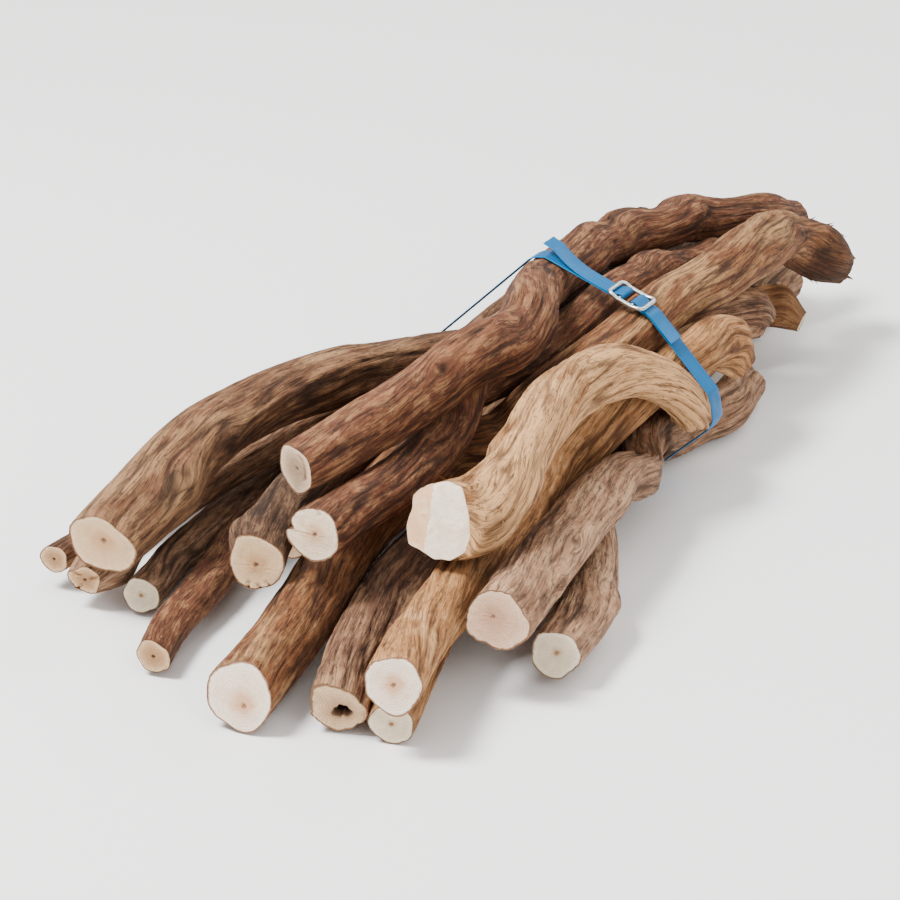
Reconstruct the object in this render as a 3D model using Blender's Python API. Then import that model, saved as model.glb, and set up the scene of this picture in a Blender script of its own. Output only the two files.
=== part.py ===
# Tied bundle of liana vine stems lying on a flat surface.
# The stems run along Y, with their fanned, sawn front ends towards -Y; +X is right and +Z is up.
# Lengths are in metres; the routes and radii of the stems are given in millimetres and scaled by MM.
# Each stem grew as one piece and is one solid. A flat plastic strap and a bent wire buckle hold the bundle.

import math

import bmesh
import bpy
import numpy as np
from mathutils import Matrix, Vector
from mathutils.bvhtree import BVHTree

MM = 0.001

# Driving dimensions of the bundle
STRAP_Y = -50 * MM
STRAP_WIDTH = 15.5 * MM
STRAP_THICKNESS = 0.9 * MM
WIRE_RADIUS = 1.6 * MM
CLEARANCE = 0.35 * MM
STEM_GAP = 0.4 * MM
UNDER_STRAP_LIFT = 3.0 * MM
UNDER_STRAP_REACH = 40 * MM

# Each route point is (x, y, z, radius) in millimetres, from the sawn front end to the back end.
# ridge is the depth of the fluting and twist the turn of the grain in degrees over the whole stem.
# A knot is (share of the length, angle in degrees, height, half length along the stem) in millimetres.
# front and back tilt a saw cut by (degrees, direction in degrees).
STEMS = {
    "stem_mottled_top": dict(
        route=[(-38, -390, 128, 18), (-24, -310, 130, 20), (-12, -238, 131, 21), (-8, -165, 126, 22),
               (-20, -105, 124, 22), (-34, -50, 131, 19), (-38, 5, 134, 19), (-42, 45, 126, 16),
               (-34, 82, 116, 19), (-22, 120, 118, 16), (-22, 160, 108, 19), (-10, 201, 102, 15),
               (-4, 240, 88, 18), (2, 285, 78, 14)],
        sides=16, rings=42, ridge=1.3, twist=150,
        knots=[(0.36, 40, 5, 22), (0.62, 20, 5, 20), (0.7, 150, 6, 20), (0.79, 270, 6, 20), (0.9, 40, 5, 18)],
        front=(8, 200), back=(10, 30), bark="brown"),
    "stem_notched": dict(
        route=[(-10, -412, 98, 20), (-6, -335, 98, 20), (-6, -260, 95, 20), (-14, -170, 92, 21),
               (-6, -100, 108, 19), (5, -50, 124, 16), (3, 10, 122, 17), (-4, 62, 112, 20),
               (-8, 112, 106, 17), (2, 145, 98, 20), (6, 190, 93, 16), (-12, 240, 86, 19), (-22, 285, 74, 15)],
        sides=16, rings=36, ridge=1.4, twist=190, knots=[(0.55, 120, 4, 18), (0.82, 300, 5, 18)],
        front=(6, 20), back=(6, 120), bark="brown"),
    "stem_nubbed": dict(
        route=[(-40, -425, 65, 19), (-64, -360, 70, 18), (-76, -288, 70, 18), (-66, -170, 84, 19),
               (-50, -50, 97, 19), (-54, 60, 94, 19), (-52, 180, 78, 18), (-62, 300, 60, 17)],
        sides=14, rings=30, ridge=1.2, twist=110, knots=[(0.03, 150, 7, 9)],
        front=(7, 90), back=(5, 200), bark="grey"),
    "stem_slim_left": dict(
        route=[(-89, -488, 14, 13), (-103, -448, 15, 13), (-110, -402, 17, 14), (-120, -355, 20, 14),
               (-132, -300, 23, 13), (-130, -200, 20, 13), (-117, -50, 19, 14), (-120, 80, 18, 14),
               (-142, 250, 16, 13)],
        sides=12, rings=30, ridge=1.0, twist=120, knots=[], front=(10, 160), back=(4, 0), bark="brown"),
    "stem_stout": dict(
        route=[(0, -518, 27, 25), (-14, -437, 32, 24), (-28, -352, 40, 23), (-36, -270, 56, 23),
               (-30, -205, 78, 23), (4, -135, 100, 22), (34, -70, 110, 20), (39, 0, 112, 20),
               (38, 80, 112, 21), (30, 140, 109, 23), (22, 180, 103, 21), (28, 214, 91, 21),
               (44, 238, 77, 24), (58, 256, 63, 14)],
        sides=16, rings=40, ridge=1.6, twist=140, knots=[(0.9, 60, 7, 18), (0.94, 250, 6, 14)],
        front=(10, 100), back=(18, 70), bark="brown"),
    "stem_hollow_pith": dict(
        route=[(58, -491, 22, 20), (30, -420, 27, 19), (4, -340, 34, 20), (-20, -250, 42, 20),
               (-34, -150, 54, 20), (-24, -50, 62, 20), (2, 20, 68, 19), (26, 84, 68, 19),
               (42, 120, 60, 20), (52, 138, 48, 12)],
        sides=16, rings=34, ridge=2.4, twist=100, knots=[(0.1, 300, 4, 30)],
        front=(8, 260), back=(25, 80), bark="grey", pith_hole=True),
    "stem_tan": dict(
        route=[(107, -497, 56, 20), (88, -429, 56, 20), (72, -350, 55, 20), (64, -269, 55, 19),
               (54, -170, 62, 18), (56, -100, 78, 17), (58, -50, 88, 17), (56, -14, 89, 19),
               (54, 10, 82, 20), (58, 28, 71, 21), (64, 38, 59, 14)],
        sides=16, rings=32, ridge=1.8, twist=240, knots=[(0.88, 30, 5, 16)],
        front=(5, 60), back=(20, 60), bark="tan"),
    "stem_slim_under": dict(
        route=[(97, -482, 17, 15), (80, -430, 18, 15), (62, -374, 20, 15), (46, -317, 24, 15),
               (28, -250, 28, 15), (-4, -150, 28, 14), (-22, -50, 27, 14), (-14, 60, 44, 15),
               (2, 130, 56, 17), (22, 176, 60, 17), (44, 190, 56, 17), (58, 196, 44, 9)],
        sides=12, rings=32, ridge=1.1, twist=130, knots=[], front=(6, 240), back=(20, 90), bark="tan"),
    "stem_hooked": dict(
        route=[(66, -371, 105, 26), (76, -352, 101, 30), (83, -321, 114, 24), (78, -285, 123, 21),
               (68, -240, 130, 21), (61, -190, 132, 20), (66, -135, 127, 19), (78, -98, 110, 17), (84, -76, 90, 16),
               (76, -50, 70, 15), (60, -14, 60, 15), (42, 35, 54, 15), (26, 80, 46, 15), (16, 115, 42, 14)],
        sides=16, rings=38, ridge=1.8, twist=170, knots=[(0.17, 120, 4, 14)],
        front=(14, 120), back=(5, 0), bark="tan", stepped_cut=True),
    "stem_grey_right": dict(
        route=[(120, -402, 62, 21), (109, -330, 61, 21), (93, -240, 60, 21), (67, -150, 57, 19),
               (46, -60, 46, 18), (42, 10, 36, 18), (34, 70, 28, 18), (24, 108, 26, 16)],
        sides=16, rings=32, ridge=2.1, twist=130, knots=[(0.38, 300, 4, 22)],
        front=(6, 40), back=(6, 140), bark="grey"),
    "stem_lumpy_right": dict(
        route=[(147, -364, 28, 18), (136, -310, 26, 19), (114, -250, 24, 18), (76, -170, 22, 17),
               (26, -70, 21, 16), (10, 40, 20, 17), (-2, 160, 20, 18), (-8, 300, 19, 17)],
        sides=14, rings=30, ridge=1.6, twist=140, knots=[(0.09, 10, 5, 14), (0.3, 40, 5, 18)],
        front=(7, 0), back=(5, 90), bark="tan"),
    "stem_knotty_left": dict(
        route=[(-162, -444, 58, 25), (-158, -405, 72, 26), (-155, -356, 92, 25), (-148, -300, 102, 24),
               (-126, -190, 98, 23), (-90, -50, 68, 23), (-92, 80, 62, 22), (-104, 240, 46, 21)],
        sides=16, rings=32, ridge=1.9, twist=120, knots=[(0.1, 320, 6, 20), (0.16, 40, 6, 18), (0.33, 0, 5, 20)],
        front=(12, 20), back=(5, 40), bark="tan"),
    "stem_thin_left": dict(
        route=[(-221, -424, 22, 11), (-216, -330, 20, 11), (-196, -190, 16, 11), (-172, -50, 16, 11),
               (-176, 90, 13, 11), (-190, 230, 13, 11)],
        sides=12, rings=26, ridge=0.9, twist=100, knots=[], front=(8, 0), back=(4, 0), bark="grey"),
    "stem_knobbed": dict(
        route=[(-178, -438, 22, 12), (-178, -422, 24, 17), (-176, -370, 32, 15), (-156, -220, 48, 15),
               (-126, -50, 46, 16), (-112, 100, 42, 16), (-90, 270, 36, 15)],
        sides=14, rings=28, ridge=1.6, twist=110, knots=[(0.02, 200, 5, 10), (0.04, 320, 5, 9), (0.05, 90, 5, 9)],
        front=(6, 0), back=(6, 300), bark="grey"),
    "stem_low_left": dict(
        route=[(-152, -424, 15, 14), (-164, -350, 16, 14), (-166, -220, 17, 14), (-146, -50, 18, 14),
               (-146, 80, 16, 14), (-158, 210, 15, 13)],
        sides=12, rings=26, ridge=1.0, twist=90, knots=[], front=(6, 60), back=(4, 60), bark="grey"),
    "stem_inner": dict(
        route=[(-84, -330, 36, 17), (-80, -240, 32, 17), (-80, -130, 26, 17), (-82, -50, 24, 18),
               (-74, 80, 21, 18), (-52, 250, 20, 17)],
        sides=12, rings=26, ridge=1.2, twist=110, knots=[(0.5, 60, 4, 16)],
        front=(5, 30), back=(5, 200), bark="brown"),
}

# Flutes round every stem, as (number, depth as a share of the stem's ridge)
FLUTES = ((2, 0.45), (3, 0.5), (5, 0.45))
FLUTE_DRIFT = 3.0
SWELL = 0.035
SWELL_LENGTH = 60 * MM
KNOT_SPREAD = 0.55

# The chopped end is narrower than the swollen foot behind it. Its outline is given by the radius at
# every side in millimetres, counted from the right upwards, and its ridge lies left of the middle.
# The slopes are those of its two strokes to the left and right, and of both of them upwards.
CHOPPED_RADII = (18.7, 18, 19.5, 25.5, 27, 25.3, 25.5, 26.4, 24, 27.8, 29.4, 23.8, 25.9, 27.9, 26.9, 22.2)
RIDGE_PLACE = -7 * MM
STROKE_SLOPES = {"left": 0.25, "right": 0.35, "up": 0.3}
CHOP_AHEAD = 4 * MM
CHOP_AXES = ((1, 0, 0), (0, 0, 1), (0, 1, 0))
INNER_RING = 0.5

# The hollow pith: the place of its mouth across the end, its radius and depth, and how far it narrows
HOLLOW_PLACE = (3 * MM, -3 * MM)
HOLLOW_RADIUS = 5.5 * MM
HOLLOW_DEPTH = 16 * MM
HOLLOW_FLOOR = 0.6

BUCKLE_LEAN = (40, 80)
BUCKLE_LENGTH = 29 * MM
BUCKLE_SIDE_GAP = 1.8 * MM
BUCKLE_CORNER = 4 * MM
BAR_SPACING = 11 * MM
BAR_SHARE_OF_WIRE = 0.94
WIRE_SIDES = 8
BUCKLE_PLACE = 0.85
LEFT_TAIL = (74 * MM, 8 * MM)
RIGHT_TAIL = (46 * MM, 4 * MM)
TAIL_SLANT = 5 * MM

BARK = {
    "brown": (0.300, 0.178, 0.104),
    "grey": (0.270, 0.196, 0.138),
    "tan": (0.420, 0.290, 0.180),
}
BARK_ROUGHNESS = 0.85
STRAP_BLUE = (0.000, 0.360, 0.600)
WIRE_GREY = (0.560, 0.600, 0.590)


def clear_scene():
    for thing in list(bpy.data.objects):
        bpy.data.objects.remove(thing, do_unlink=True)


def material(name, colour, roughness, metallic=0.0):
    made = bpy.data.materials.new(name)
    made.use_nodes = True
    shader = made.node_tree.nodes["Principled BSDF"]
    shader.inputs["Base Color"].default_value = (*colour, 1.0)
    shader.inputs["Roughness"].default_value = roughness
    shader.inputs["Metallic"].default_value = metallic
    return made


def new_object(name, mesh, parent, finish):
    thing = bpy.data.objects.new(name, mesh)
    bpy.context.scene.collection.objects.link(thing)
    thing.parent = parent
    mesh.materials.append(finish)
    return thing


# Smooth curves through the hand-set points

def catmull_rom(points, share):
    """The point at each share from 0 to 1 of a smooth curve through the given rows."""
    points = np.asarray(points, float)
    padded = np.vstack([2 * points[0] - points[1], points, 2 * points[-1] - points[-2]])
    place = np.clip(share, 0, 1) * (len(points) - 1)
    first = np.minimum(place.astype(int), len(points) - 2)
    t = (place - first)[:, None]
    a, b, c, d = (padded[first + k] for k in range(4))
    return 0.5 * (2 * b + (c - a) * t + (2 * a - 5 * b + 4 * c - d) * t**2 + (3 * b - a - 3 * c + d) * t**3)


def even_route(points, count):
    """Points and radii at equal steps along the smooth curve through a stem's route."""
    fine = catmull_rom(points, np.linspace(0, 1, 40 * len(points)))
    steps = np.linalg.norm(np.diff(fine[:, :3], axis=0), axis=1)
    length = np.concatenate([[0], np.cumsum(steps)])
    wanted = np.linspace(0, length[-1], count)
    return np.column_stack([np.interp(wanted, length, fine[:, k]) for k in range(4)]), length[-1]


# Cross-sections of a stem

def ring_radii(stem, radii, length, draw):
    """The radius at every ring and side: the mean radius with flutes along the grain, and knots."""
    sides = stem["sides"]
    angle = np.arange(sides) * 2 * math.pi / sides
    share = np.linspace(0, 1, len(radii))[:, None]
    flutes = np.zeros((len(radii), sides))
    for lobes, depth in FLUTES:
        phase = draw.uniform(0, 2 * math.pi)
        drift = draw.uniform(-FLUTE_DRIFT, FLUTE_DRIFT)
        flutes += depth * np.cos(lobes * angle[None, :] + phase + drift * share)
    swell = 1 + SWELL * np.sin(share * length / SWELL_LENGTH + draw.uniform(0, 6))
    surface = radii[:, None] * swell + stem["ridge"] * MM * flutes
    for at, degrees, height, half_length in stem["knots"]:
        along = np.exp(-(((share - at) * length) / (half_length * MM)) ** 2)
        turn = (angle[None, :] - math.radians(degrees) + math.pi) % (2 * math.pi) - math.pi
        surface += height * MM * along * np.exp(-((turn / KNOT_SPREAD) ** 2))
    if stem.get("stepped_cut"):
        surface[0] = np.array(CHOPPED_RADII) * MM
    return surface


# Room for every stem: overlapping stretches are moved apart, and the rest follows the routes

def nearest_on_segments(a0, a1, b0, b1):
    """Shares along each pair of segments where they come closest, and the vector from b to a there."""
    u, v, w = a1 - a0, b1 - b0, a0 - b0
    a, b, c = (u * u).sum(1), (u * v).sum(1), (v * v).sum(1)
    d, e = (u * w).sum(1), (v * w).sum(1)
    wide = np.maximum(a * c - b * b, 1e-18)
    s = np.clip((b * e - c * d) / wide, 0, 1)
    t = np.clip((b * s + e) / c, 0, 1)
    s = np.clip((b * t - d) / a, 0, 1)
    return s, t, w + s[:, None] * u - t[:, None] * v


class Layout:
    """Centre points and reach of all the stems, as one long list with the stem of each point."""

    ROUNDS = 500
    FREE_ROUNDS = 110
    SEARCH = 30 * MM
    PULL = 0.06
    SMOOTH = 0.6
    LEAST_SMOOTH = 0.1
    PUSH = 0.55

    def __init__(self, routes, reaches):
        self.home = np.vstack(routes)
        self.place = self.home.copy()
        self.reach = np.concatenate(reaches)
        self.owner = np.concatenate([[k] * len(r) for k, r in enumerate(routes)])
        same = self.owner[1:] == self.owner[:-1]
        self.starts = np.nonzero(same)[0]
        self.pairs = None

    def find_pairs(self):
        middle = (self.place[self.starts] + self.place[self.starts + 1]) / 2
        half = np.linalg.norm(self.place[self.starts + 1] - self.place[self.starts], axis=1) / 2
        reach = np.maximum(self.reach[self.starts], self.reach[self.starts + 1]) + half
        i, j = np.triu_indices(len(self.starts), 1)
        other = self.owner[self.starts[i]] != self.owner[self.starts[j]]
        i, j = i[other], j[other]
        apart = np.linalg.norm(middle[i] - middle[j], axis=1)
        close = apart < reach[i] + reach[j] + self.SEARCH
        self.pairs = self.starts[i[close]], self.starts[j[close]]

    def push_apart(self, strength):
        i, j = self.pairs
        s, t, between = nearest_on_segments(
            self.place[i], self.place[i + 1], self.place[j], self.place[j + 1])
        apart = np.maximum(np.linalg.norm(between, axis=1), 1e-9)
        need = (self.reach[i] * (1 - s) + self.reach[i + 1] * s
                + self.reach[j] * (1 - t) + self.reach[j + 1] * t + STEM_GAP)
        overlap = np.maximum(need - apart, 0)
        move = (overlap / apart * strength)[:, None] * between
        total = np.zeros_like(self.place)
        count = np.zeros(len(self.place))
        for index, share, sign in ((i, 1 - s, 1), (i + 1, s, 1), (j, 1 - t, -1), (j + 1, t, -1)):
            np.add.at(total, index, sign * share[:, None] * move)
            np.add.at(count, index, share * (overlap > 0))
        self.place += total / np.maximum(count, 1)[:, None]
        return overlap.max()

    def keep_above_floor(self):
        near_strap = np.abs(self.place[:, 1] - STRAP_Y) < UNDER_STRAP_REACH
        lowest = self.reach + near_strap * UNDER_STRAP_LIFT
        self.place[:, 2] = np.maximum(self.place[:, 2], lowest)

    def follow_routes(self, pull, smooth):
        """Moves points back towards their routes, and evens each shift with the next points' shifts."""
        shift = (self.place - self.home) * (1 - pull)
        before = np.where((self.owner == np.roll(self.owner, 1))[:, None], np.roll(shift, 1, axis=0), shift)
        after = np.where((self.owner == np.roll(self.owner, -1))[:, None], np.roll(shift, -1, axis=0), shift)
        self.place = self.home + shift + smooth * ((before + after) / 2 - shift)

    def settle(self):
        for turn in range(self.ROUNDS):
            if turn % 10 == 0:
                self.find_pairs()
            left = 1 - turn / self.ROUNDS
            if turn < self.ROUNDS - self.FREE_ROUNDS:
                self.follow_routes(self.PULL * left, self.SMOOTH * left + self.LEAST_SMOOTH)
            overlap = self.push_apart(self.PUSH)
            self.keep_above_floor()
        return overlap


# Stem solids

def side_vectors(centres, twist):
    """Two unit vectors across the stem at each centre, carried along it without spin and then twisted."""
    tangents = np.gradient(centres, axis=0)
    tangents /= np.linalg.norm(tangents, axis=1)[:, None]
    first = np.cross(tangents[0], (0, 0, 1))
    first /= np.linalg.norm(first)
    across = [first]
    for before, after in zip(tangents[:-1], tangents[1:]):
        turned = across[-1] - after * np.dot(across[-1], after)
        across.append(turned / np.linalg.norm(turned))
    across = np.array(across)
    up = np.cross(across, tangents)
    turn = (np.linspace(0, math.radians(twist), len(centres)))[:, None]
    return across * np.cos(turn) + up * np.sin(turn), up * np.cos(turn) - across * np.sin(turn), tangents


def tilted(stem_cut, side, up, tangent):
    """The slope of a saw cut as a vector: a step along it gives the step along the stem."""
    degrees, direction = stem_cut
    lean = math.radians(direction)
    return math.tan(math.radians(degrees)) * (math.cos(lean) * side + math.sin(lean) * up)


def ring_points(centre, side, up, tangent, radii, slope=None):
    angle = np.arange(len(radii)) * 2 * math.pi / len(radii)
    out = np.cos(angle)[:, None] * side + np.sin(angle)[:, None] * up
    points = centre + out * radii[:, None]
    if slope is not None:
        points = points + ((points - centre) @ slope)[:, None] * tangent
    return points


def chopped_ring(centre, share):
    """A ring of the chopped end: two strokes met on an upright ridge, and the face falls back from it."""
    right, up, back = np.array(CHOP_AXES, float)
    points = ring_points(centre, right, up, back, np.array(CHOPPED_RADII) * MM * share)
    over = (points - centre) @ right - RIDGE_PLACE
    depth = np.where(over > 0, STROKE_SLOPES["right"] * over, -STROKE_SLOPES["left"] * over)
    depth = depth + STROKE_SLOPES["up"] * ((points - centre) @ up) - CHOP_AHEAD
    return points + depth[:, None] * back


def stem_mesh(name, stem, centres, surface):
    """Rings of points joined by triangles, closed by a flat fan at each sawn end."""
    side, up, tangent = side_vectors(centres, stem["twist"])
    rings = []
    for k, (centre, radii) in enumerate(zip(centres, surface)):
        cut = stem["front"] if k == 0 else stem["back"] if k == len(centres) - 1 else None
        slope = tilted(cut, side[k], up[k], tangent[k]) if cut else None
        rings.append(ring_points(centre, side[k], up[k], tangent[k], radii, slope))
    if stem.get("stepped_cut"):
        rings[0] = chopped_ring(centres[0], 1)
        rings.insert(0, chopped_ring(centres[0], INNER_RING))
    if stem.get("pith_hole"):
        mouth = centres[0] + side[0] * HOLLOW_PLACE[0] + up[0] * HOLLOW_PLACE[1]
        hole = np.full(stem["sides"], HOLLOW_RADIUS)
        slope = tilted(stem["front"], side[0], up[0], tangent[0])
        lip = ring_points(mouth, side[0], up[0], tangent[0], hole)
        lip = lip + ((lip - centres[0]) @ slope)[:, None] * tangent[0]
        rings.insert(0, lip)
        rings.insert(0, ring_points(
            mouth + tangent[0] * HOLLOW_DEPTH, side[0], up[0], tangent[0], hole * HOLLOW_FLOOR))
    body = bmesh.new()
    grid = [[body.verts.new(p) for p in ring] for ring in rings]
    sides = stem["sides"]
    for before, after in zip(grid[:-1], grid[1:]):
        for j in range(sides):
            a, b = before[j], before[(j + 1) % sides]
            c, d = after[(j + 1) % sides], after[j]
            split = ((a, b, c), (a, c, d)) if j % 2 else ((a, b, d), (b, c, d))
            for corners in split:
                body.faces.new(corners)
    for ring, points in ((grid[0], rings[0]), (grid[-1], rings[-1])):
        middle = body.verts.new(points.mean(axis=0))
        for j in range(sides):
            body.faces.new((middle, ring[j], ring[(j + 1) % sides]))
    bmesh.ops.recalc_face_normals(body, faces=body.faces)
    if body.calc_volume(signed=True) < 0:
        bmesh.ops.reverse_faces(body, faces=body.faces)
    mesh = bpy.data.meshes.new(name)
    body.to_mesh(mesh)
    body.free()
    mesh.shade_smooth()
    mesh.set_sharp_from_angle(angle=math.radians(50))
    return mesh


def make_stems(parent):
    draw = np.random.default_rng(7)
    routes, surfaces = [], []
    for stem in STEMS.values():
        route, length = even_route(np.array(stem["route"], float) * MM, stem["rings"])
        routes.append(route[:, :3])
        surfaces.append(ring_radii(stem, route[:, 3], length, draw))
    layout = Layout(routes, [s.max(axis=1) for s in surfaces])
    left = layout.settle()
    print("largest overlap left between stems, mm:", round(left / MM, 3))
    finishes = {key: material("bark_" + key, colour, BARK_ROUGHNESS) for key, colour in BARK.items()}
    made = []
    for k, (name, stem) in enumerate(STEMS.items()):
        centres = layout.place[layout.owner == k]
        anchor = centres[np.argmin(np.abs(centres[:, 1] - STRAP_Y))]
        mesh = stem_mesh(name, stem, centres - anchor, surfaces[k])
        thing = new_object(name, mesh, parent, finishes[stem["bark"]])
        thing.location = anchor
        made.append(thing)
    return made


# Seating: a loose stem, or a group of them, is drawn straight towards its nearest neighbour

class Skin:
    """Points spread over a stem's faces and edges, and a search tree of its faces, at its first place."""

    EDGE_STEPS = 6
    SEARCH = 12 * MM

    def __init__(self, thing):
        self.thing = thing
        start = np.array(thing.location)
        mesh = thing.data
        corners = np.empty(len(mesh.vertices) * 3)
        mesh.vertices.foreach_get("co", corners)
        corners = corners.reshape(-1, 3) + start
        ends = np.array([edge.vertices[:] for edge in mesh.edges])
        shares = np.arange(self.EDGE_STEPS)[:, None, None] / self.EDGE_STEPS
        along = corners[ends[:, 0]] * (1 - shares) + corners[ends[:, 1]] * shares
        self.points = along.reshape(-1, 3)
        self.first = start
        self.tree = BVHTree.FromPolygons(
            [Vector(p) for p in corners], [tuple(face.vertices) for face in mesh.polygons])

    def moved(self):
        return np.array(self.thing.location) - self.first

    def step_to(self, other):
        """The shortest step from this skin's points to the other's faces, or None past the search reach."""
        offset = self.moved() - other.moved()
        low, high = other.points.min(0) - self.SEARCH, other.points.max(0) + self.SEARCH
        points = self.points + offset
        points = points[((points > low) & (points < high)).all(1)]
        best, reach = None, self.SEARCH
        for point in points:
            spot = Vector(point)
            found = other.tree.find_nearest(spot, reach)
            if found[0] is not None:
                best, reach = found[0] - spot, found[3]
        return best


def step_between(one, other):
    """The step from one skin to the other where they lie closest."""
    there, back = one.step_to(other), other.step_to(one)
    steps = [step for step in (there, -back if back else None) if step]
    return min(steps, key=lambda step: step.length) if steps else None


def seat_groups(stems):
    """Joins the stems into one touching group by moving the smallest group to its nearest neighbour."""
    groups = [[Skin(stem)] for stem in stems]
    while len(groups) > 1:
        groups.sort(key=len)
        moving = groups.pop(0)
        steps = [(step_between(one, other), k)
                 for one in moving for k, group in enumerate(groups) for other in group]
        step, k = min((s for s in steps if s[0]), key=lambda s: s[0].length)
        shift = step.normalized() * max(step.length - STEM_GAP, 0)
        for one in moving:
            one.thing.location += shift
        groups[k] = groups[k] + moving


# Laying the bundle down: it is turned until the three low points around its weight are level

def whole_turn(stem):
    """The stem's corners after its own place and turn, in the bundle's frame."""
    corners = np.empty(len(stem.data.vertices) * 3)
    stem.data.vertices.foreach_get("co", corners)
    turn = np.array(Matrix.LocRotScale(stem.location, stem.rotation_euler, None))
    return corners.reshape(-1, 3) @ turn[:3, :3].T + turn[:3, 3]


def weight_centre(stems):
    """The centre of volume of all the stems, from the signed tetrahedra under their triangles."""
    total, moment = 0.0, np.zeros(3)
    for stem in stems:
        corners = whole_turn(stem)
        a, b, c = (corners[[face.vertices[k] for face in stem.data.polygons]] for k in range(3))
        volume = (np.cross(a, b) * c).sum(1) / 6
        total += volume.sum()
        moment += (volume[:, None] * (a + b + c) / 4).sum(0)
    return Vector(moment / total)


def inside_from_above(face, centre):
    turns = []
    for loop in face.loops:
        start, end = loop.vert.co, loop.link_loop_next.vert.co
        turns.append((end.x - start.x) * (centre.y - start.y) - (end.y - start.y) * (centre.x - start.x))
    return min(turns) >= 0 or max(turns) <= 0


def lay_flat(stems):
    centre = weight_centre(stems)
    hull = bmesh.new()
    for stem in stems:
        for point in whole_turn(stem):
            hull.verts.new(point)
    bmesh.ops.convex_hull(hull, input=hull.verts)
    hull.normal_update()
    low = [face for face in hull.faces if face.normal.z < 0 and inside_from_above(face, centre)]
    turn = low[0].normal.rotation_difference(Vector((0, 0, -1)))
    hull.free()
    for stem in stems:
        stem.rotation_euler = turn.to_euler()
        stem.location = centre + turn @ (stem.location - centre)
    lowest = min(whole_turn(stem)[:, 2].min() for stem in stems)
    for stem in stems:
        stem.location.z -= lowest


# The strap: one flat length of plastic round all the stems, folded back over two bars of the buckle

class Band:
    """The strap's middle line round the stems, as a taut loop in the XZ plane at the strap's Y.

    Lengths along it start under the middle of the buckle and run up over the left side.
    """

    DIRECTIONS = 150
    SHORTEST = 2.0 * MM

    def __init__(self, stems):
        points = np.vstack([self.section(stem) for stem in stems])
        away = CLEARANCE + STRAP_THICKNESS / 2
        kept = []
        for k in range(self.DIRECTIONS):
            angle = 2 * math.pi * k / self.DIRECTIONS
            normal = np.array([math.cos(angle), math.sin(angle)])
            spot = points[np.argmax(points @ normal)] + normal * away
            if not kept or np.linalg.norm(spot - kept[-1]) > self.SHORTEST:
                kept.append(spot)
        loop = np.array(kept)
        ends = np.roll(loop, -1, axis=0)
        run = ends - loop
        lean = np.degrees(np.arctan2(-run[:, 0], run[:, 1]))
        free = np.linalg.norm(run, axis=1) * ((lean > BUCKLE_LEAN[0]) & (lean < BUCKLE_LEAN[1]))
        first = int(np.argmax(free))
        start = loop[first] * BUCKLE_PLACE + ends[first] * (1 - BUCKLE_PLACE)
        order = np.roll(loop, -first - 1, axis=0)
        self.points = np.vstack([start, order, start])
        steps = np.linalg.norm(np.diff(self.points, axis=0), axis=1)
        self.lengths = np.concatenate([[0], np.cumsum(steps)])
        self.round = self.lengths[-1]
        print("free run under the buckle, mm:", round(free.max() / MM, 1))

    @staticmethod
    def section(stem):
        """X and Z of the stem's edges where they pass through the strap's width."""
        corners = whole_turn(stem)
        ends = np.array([edge.vertices[:] for edge in stem.data.edges])
        a, b = corners[ends[:, 0]], corners[ends[:, 1]]
        run = np.where(np.abs(b[:, 1] - a[:, 1]) < 1e-9, 1e-9, b[:, 1] - a[:, 1])
        half = STRAP_WIDTH / 2 + 1 * MM
        shares = np.sort(np.column_stack([(STRAP_Y - half - a[:, 1]) / run, (STRAP_Y + half - a[:, 1]) / run]))
        shares = np.clip(shares, 0, 1)
        through = shares[:, 1] - shares[:, 0] > 1e-6
        spots = [a[through] + (b - a)[through] * shares[through, k][:, None] for k in (0, 1)]
        return np.vstack(spots)[:, [0, 2]]

    def at(self, length):
        length = length % self.round
        return np.array([np.interp(length, self.lengths, self.points[:, k]) for k in (0, 1)])

    def normal(self, length, reach=1.0 * MM):
        run = self.at(length + reach) - self.at(length - reach)
        run = run / np.linalg.norm(run)
        return np.array([run[1], -run[0]])

    def spot(self, length, height, sideways=0.0):
        """The point at a length along the band, so far out of it, and so far along Y."""
        x, z = self.at(length) + self.normal(length) * height
        return Vector((x, STRAP_Y + sideways, z))


def fold(side):
    """(length, height) points of the strap round one buckle bar, from its top down under the bar."""
    reach = WIRE_RADIUS + CLEARANCE + STRAP_THICKNESS / 2
    turns = [math.radians(a) for a in range(-30, 181, 30)]
    return [(side * (BAR_SPACING / 2 - reach * math.sin(a)), reach * (1 + math.cos(a))) for a in turns]


def tail(side, length, spring):
    """(length, height, sideways) points of a free end, from its tip to the top of its fold."""
    lying = STRAP_THICKNESS + CLEARANCE
    points = []
    for share in np.linspace(0, 1, 11):
        at = length + (BUCKLE_LENGTH / 2 - length) * share
        lift = max(0.0, 1 - 1.5 * share) ** 2
        points.append((side * at, lying + spring * lift, side * TAIL_SLANT * lift))
    return points


def strap_points(band):
    left = tail(1, *LEFT_TAIL) + [(s, h, 0.0) for s, h in fold(1)]
    right = tail(-1, *RIGHT_TAIL) + [(s, h, 0.0) for s, h in fold(-1)]
    first, last = left[-1][0], band.round + right[-1][0]
    inner = [s for s in band.lengths if first + 2 * MM < s < last - 2 * MM]
    path = [band.spot(*row) for row in left]
    path += [band.spot(s, 0.0) for s in inner]
    path += [band.spot(*row) for row in reversed(right)]
    return path


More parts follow.
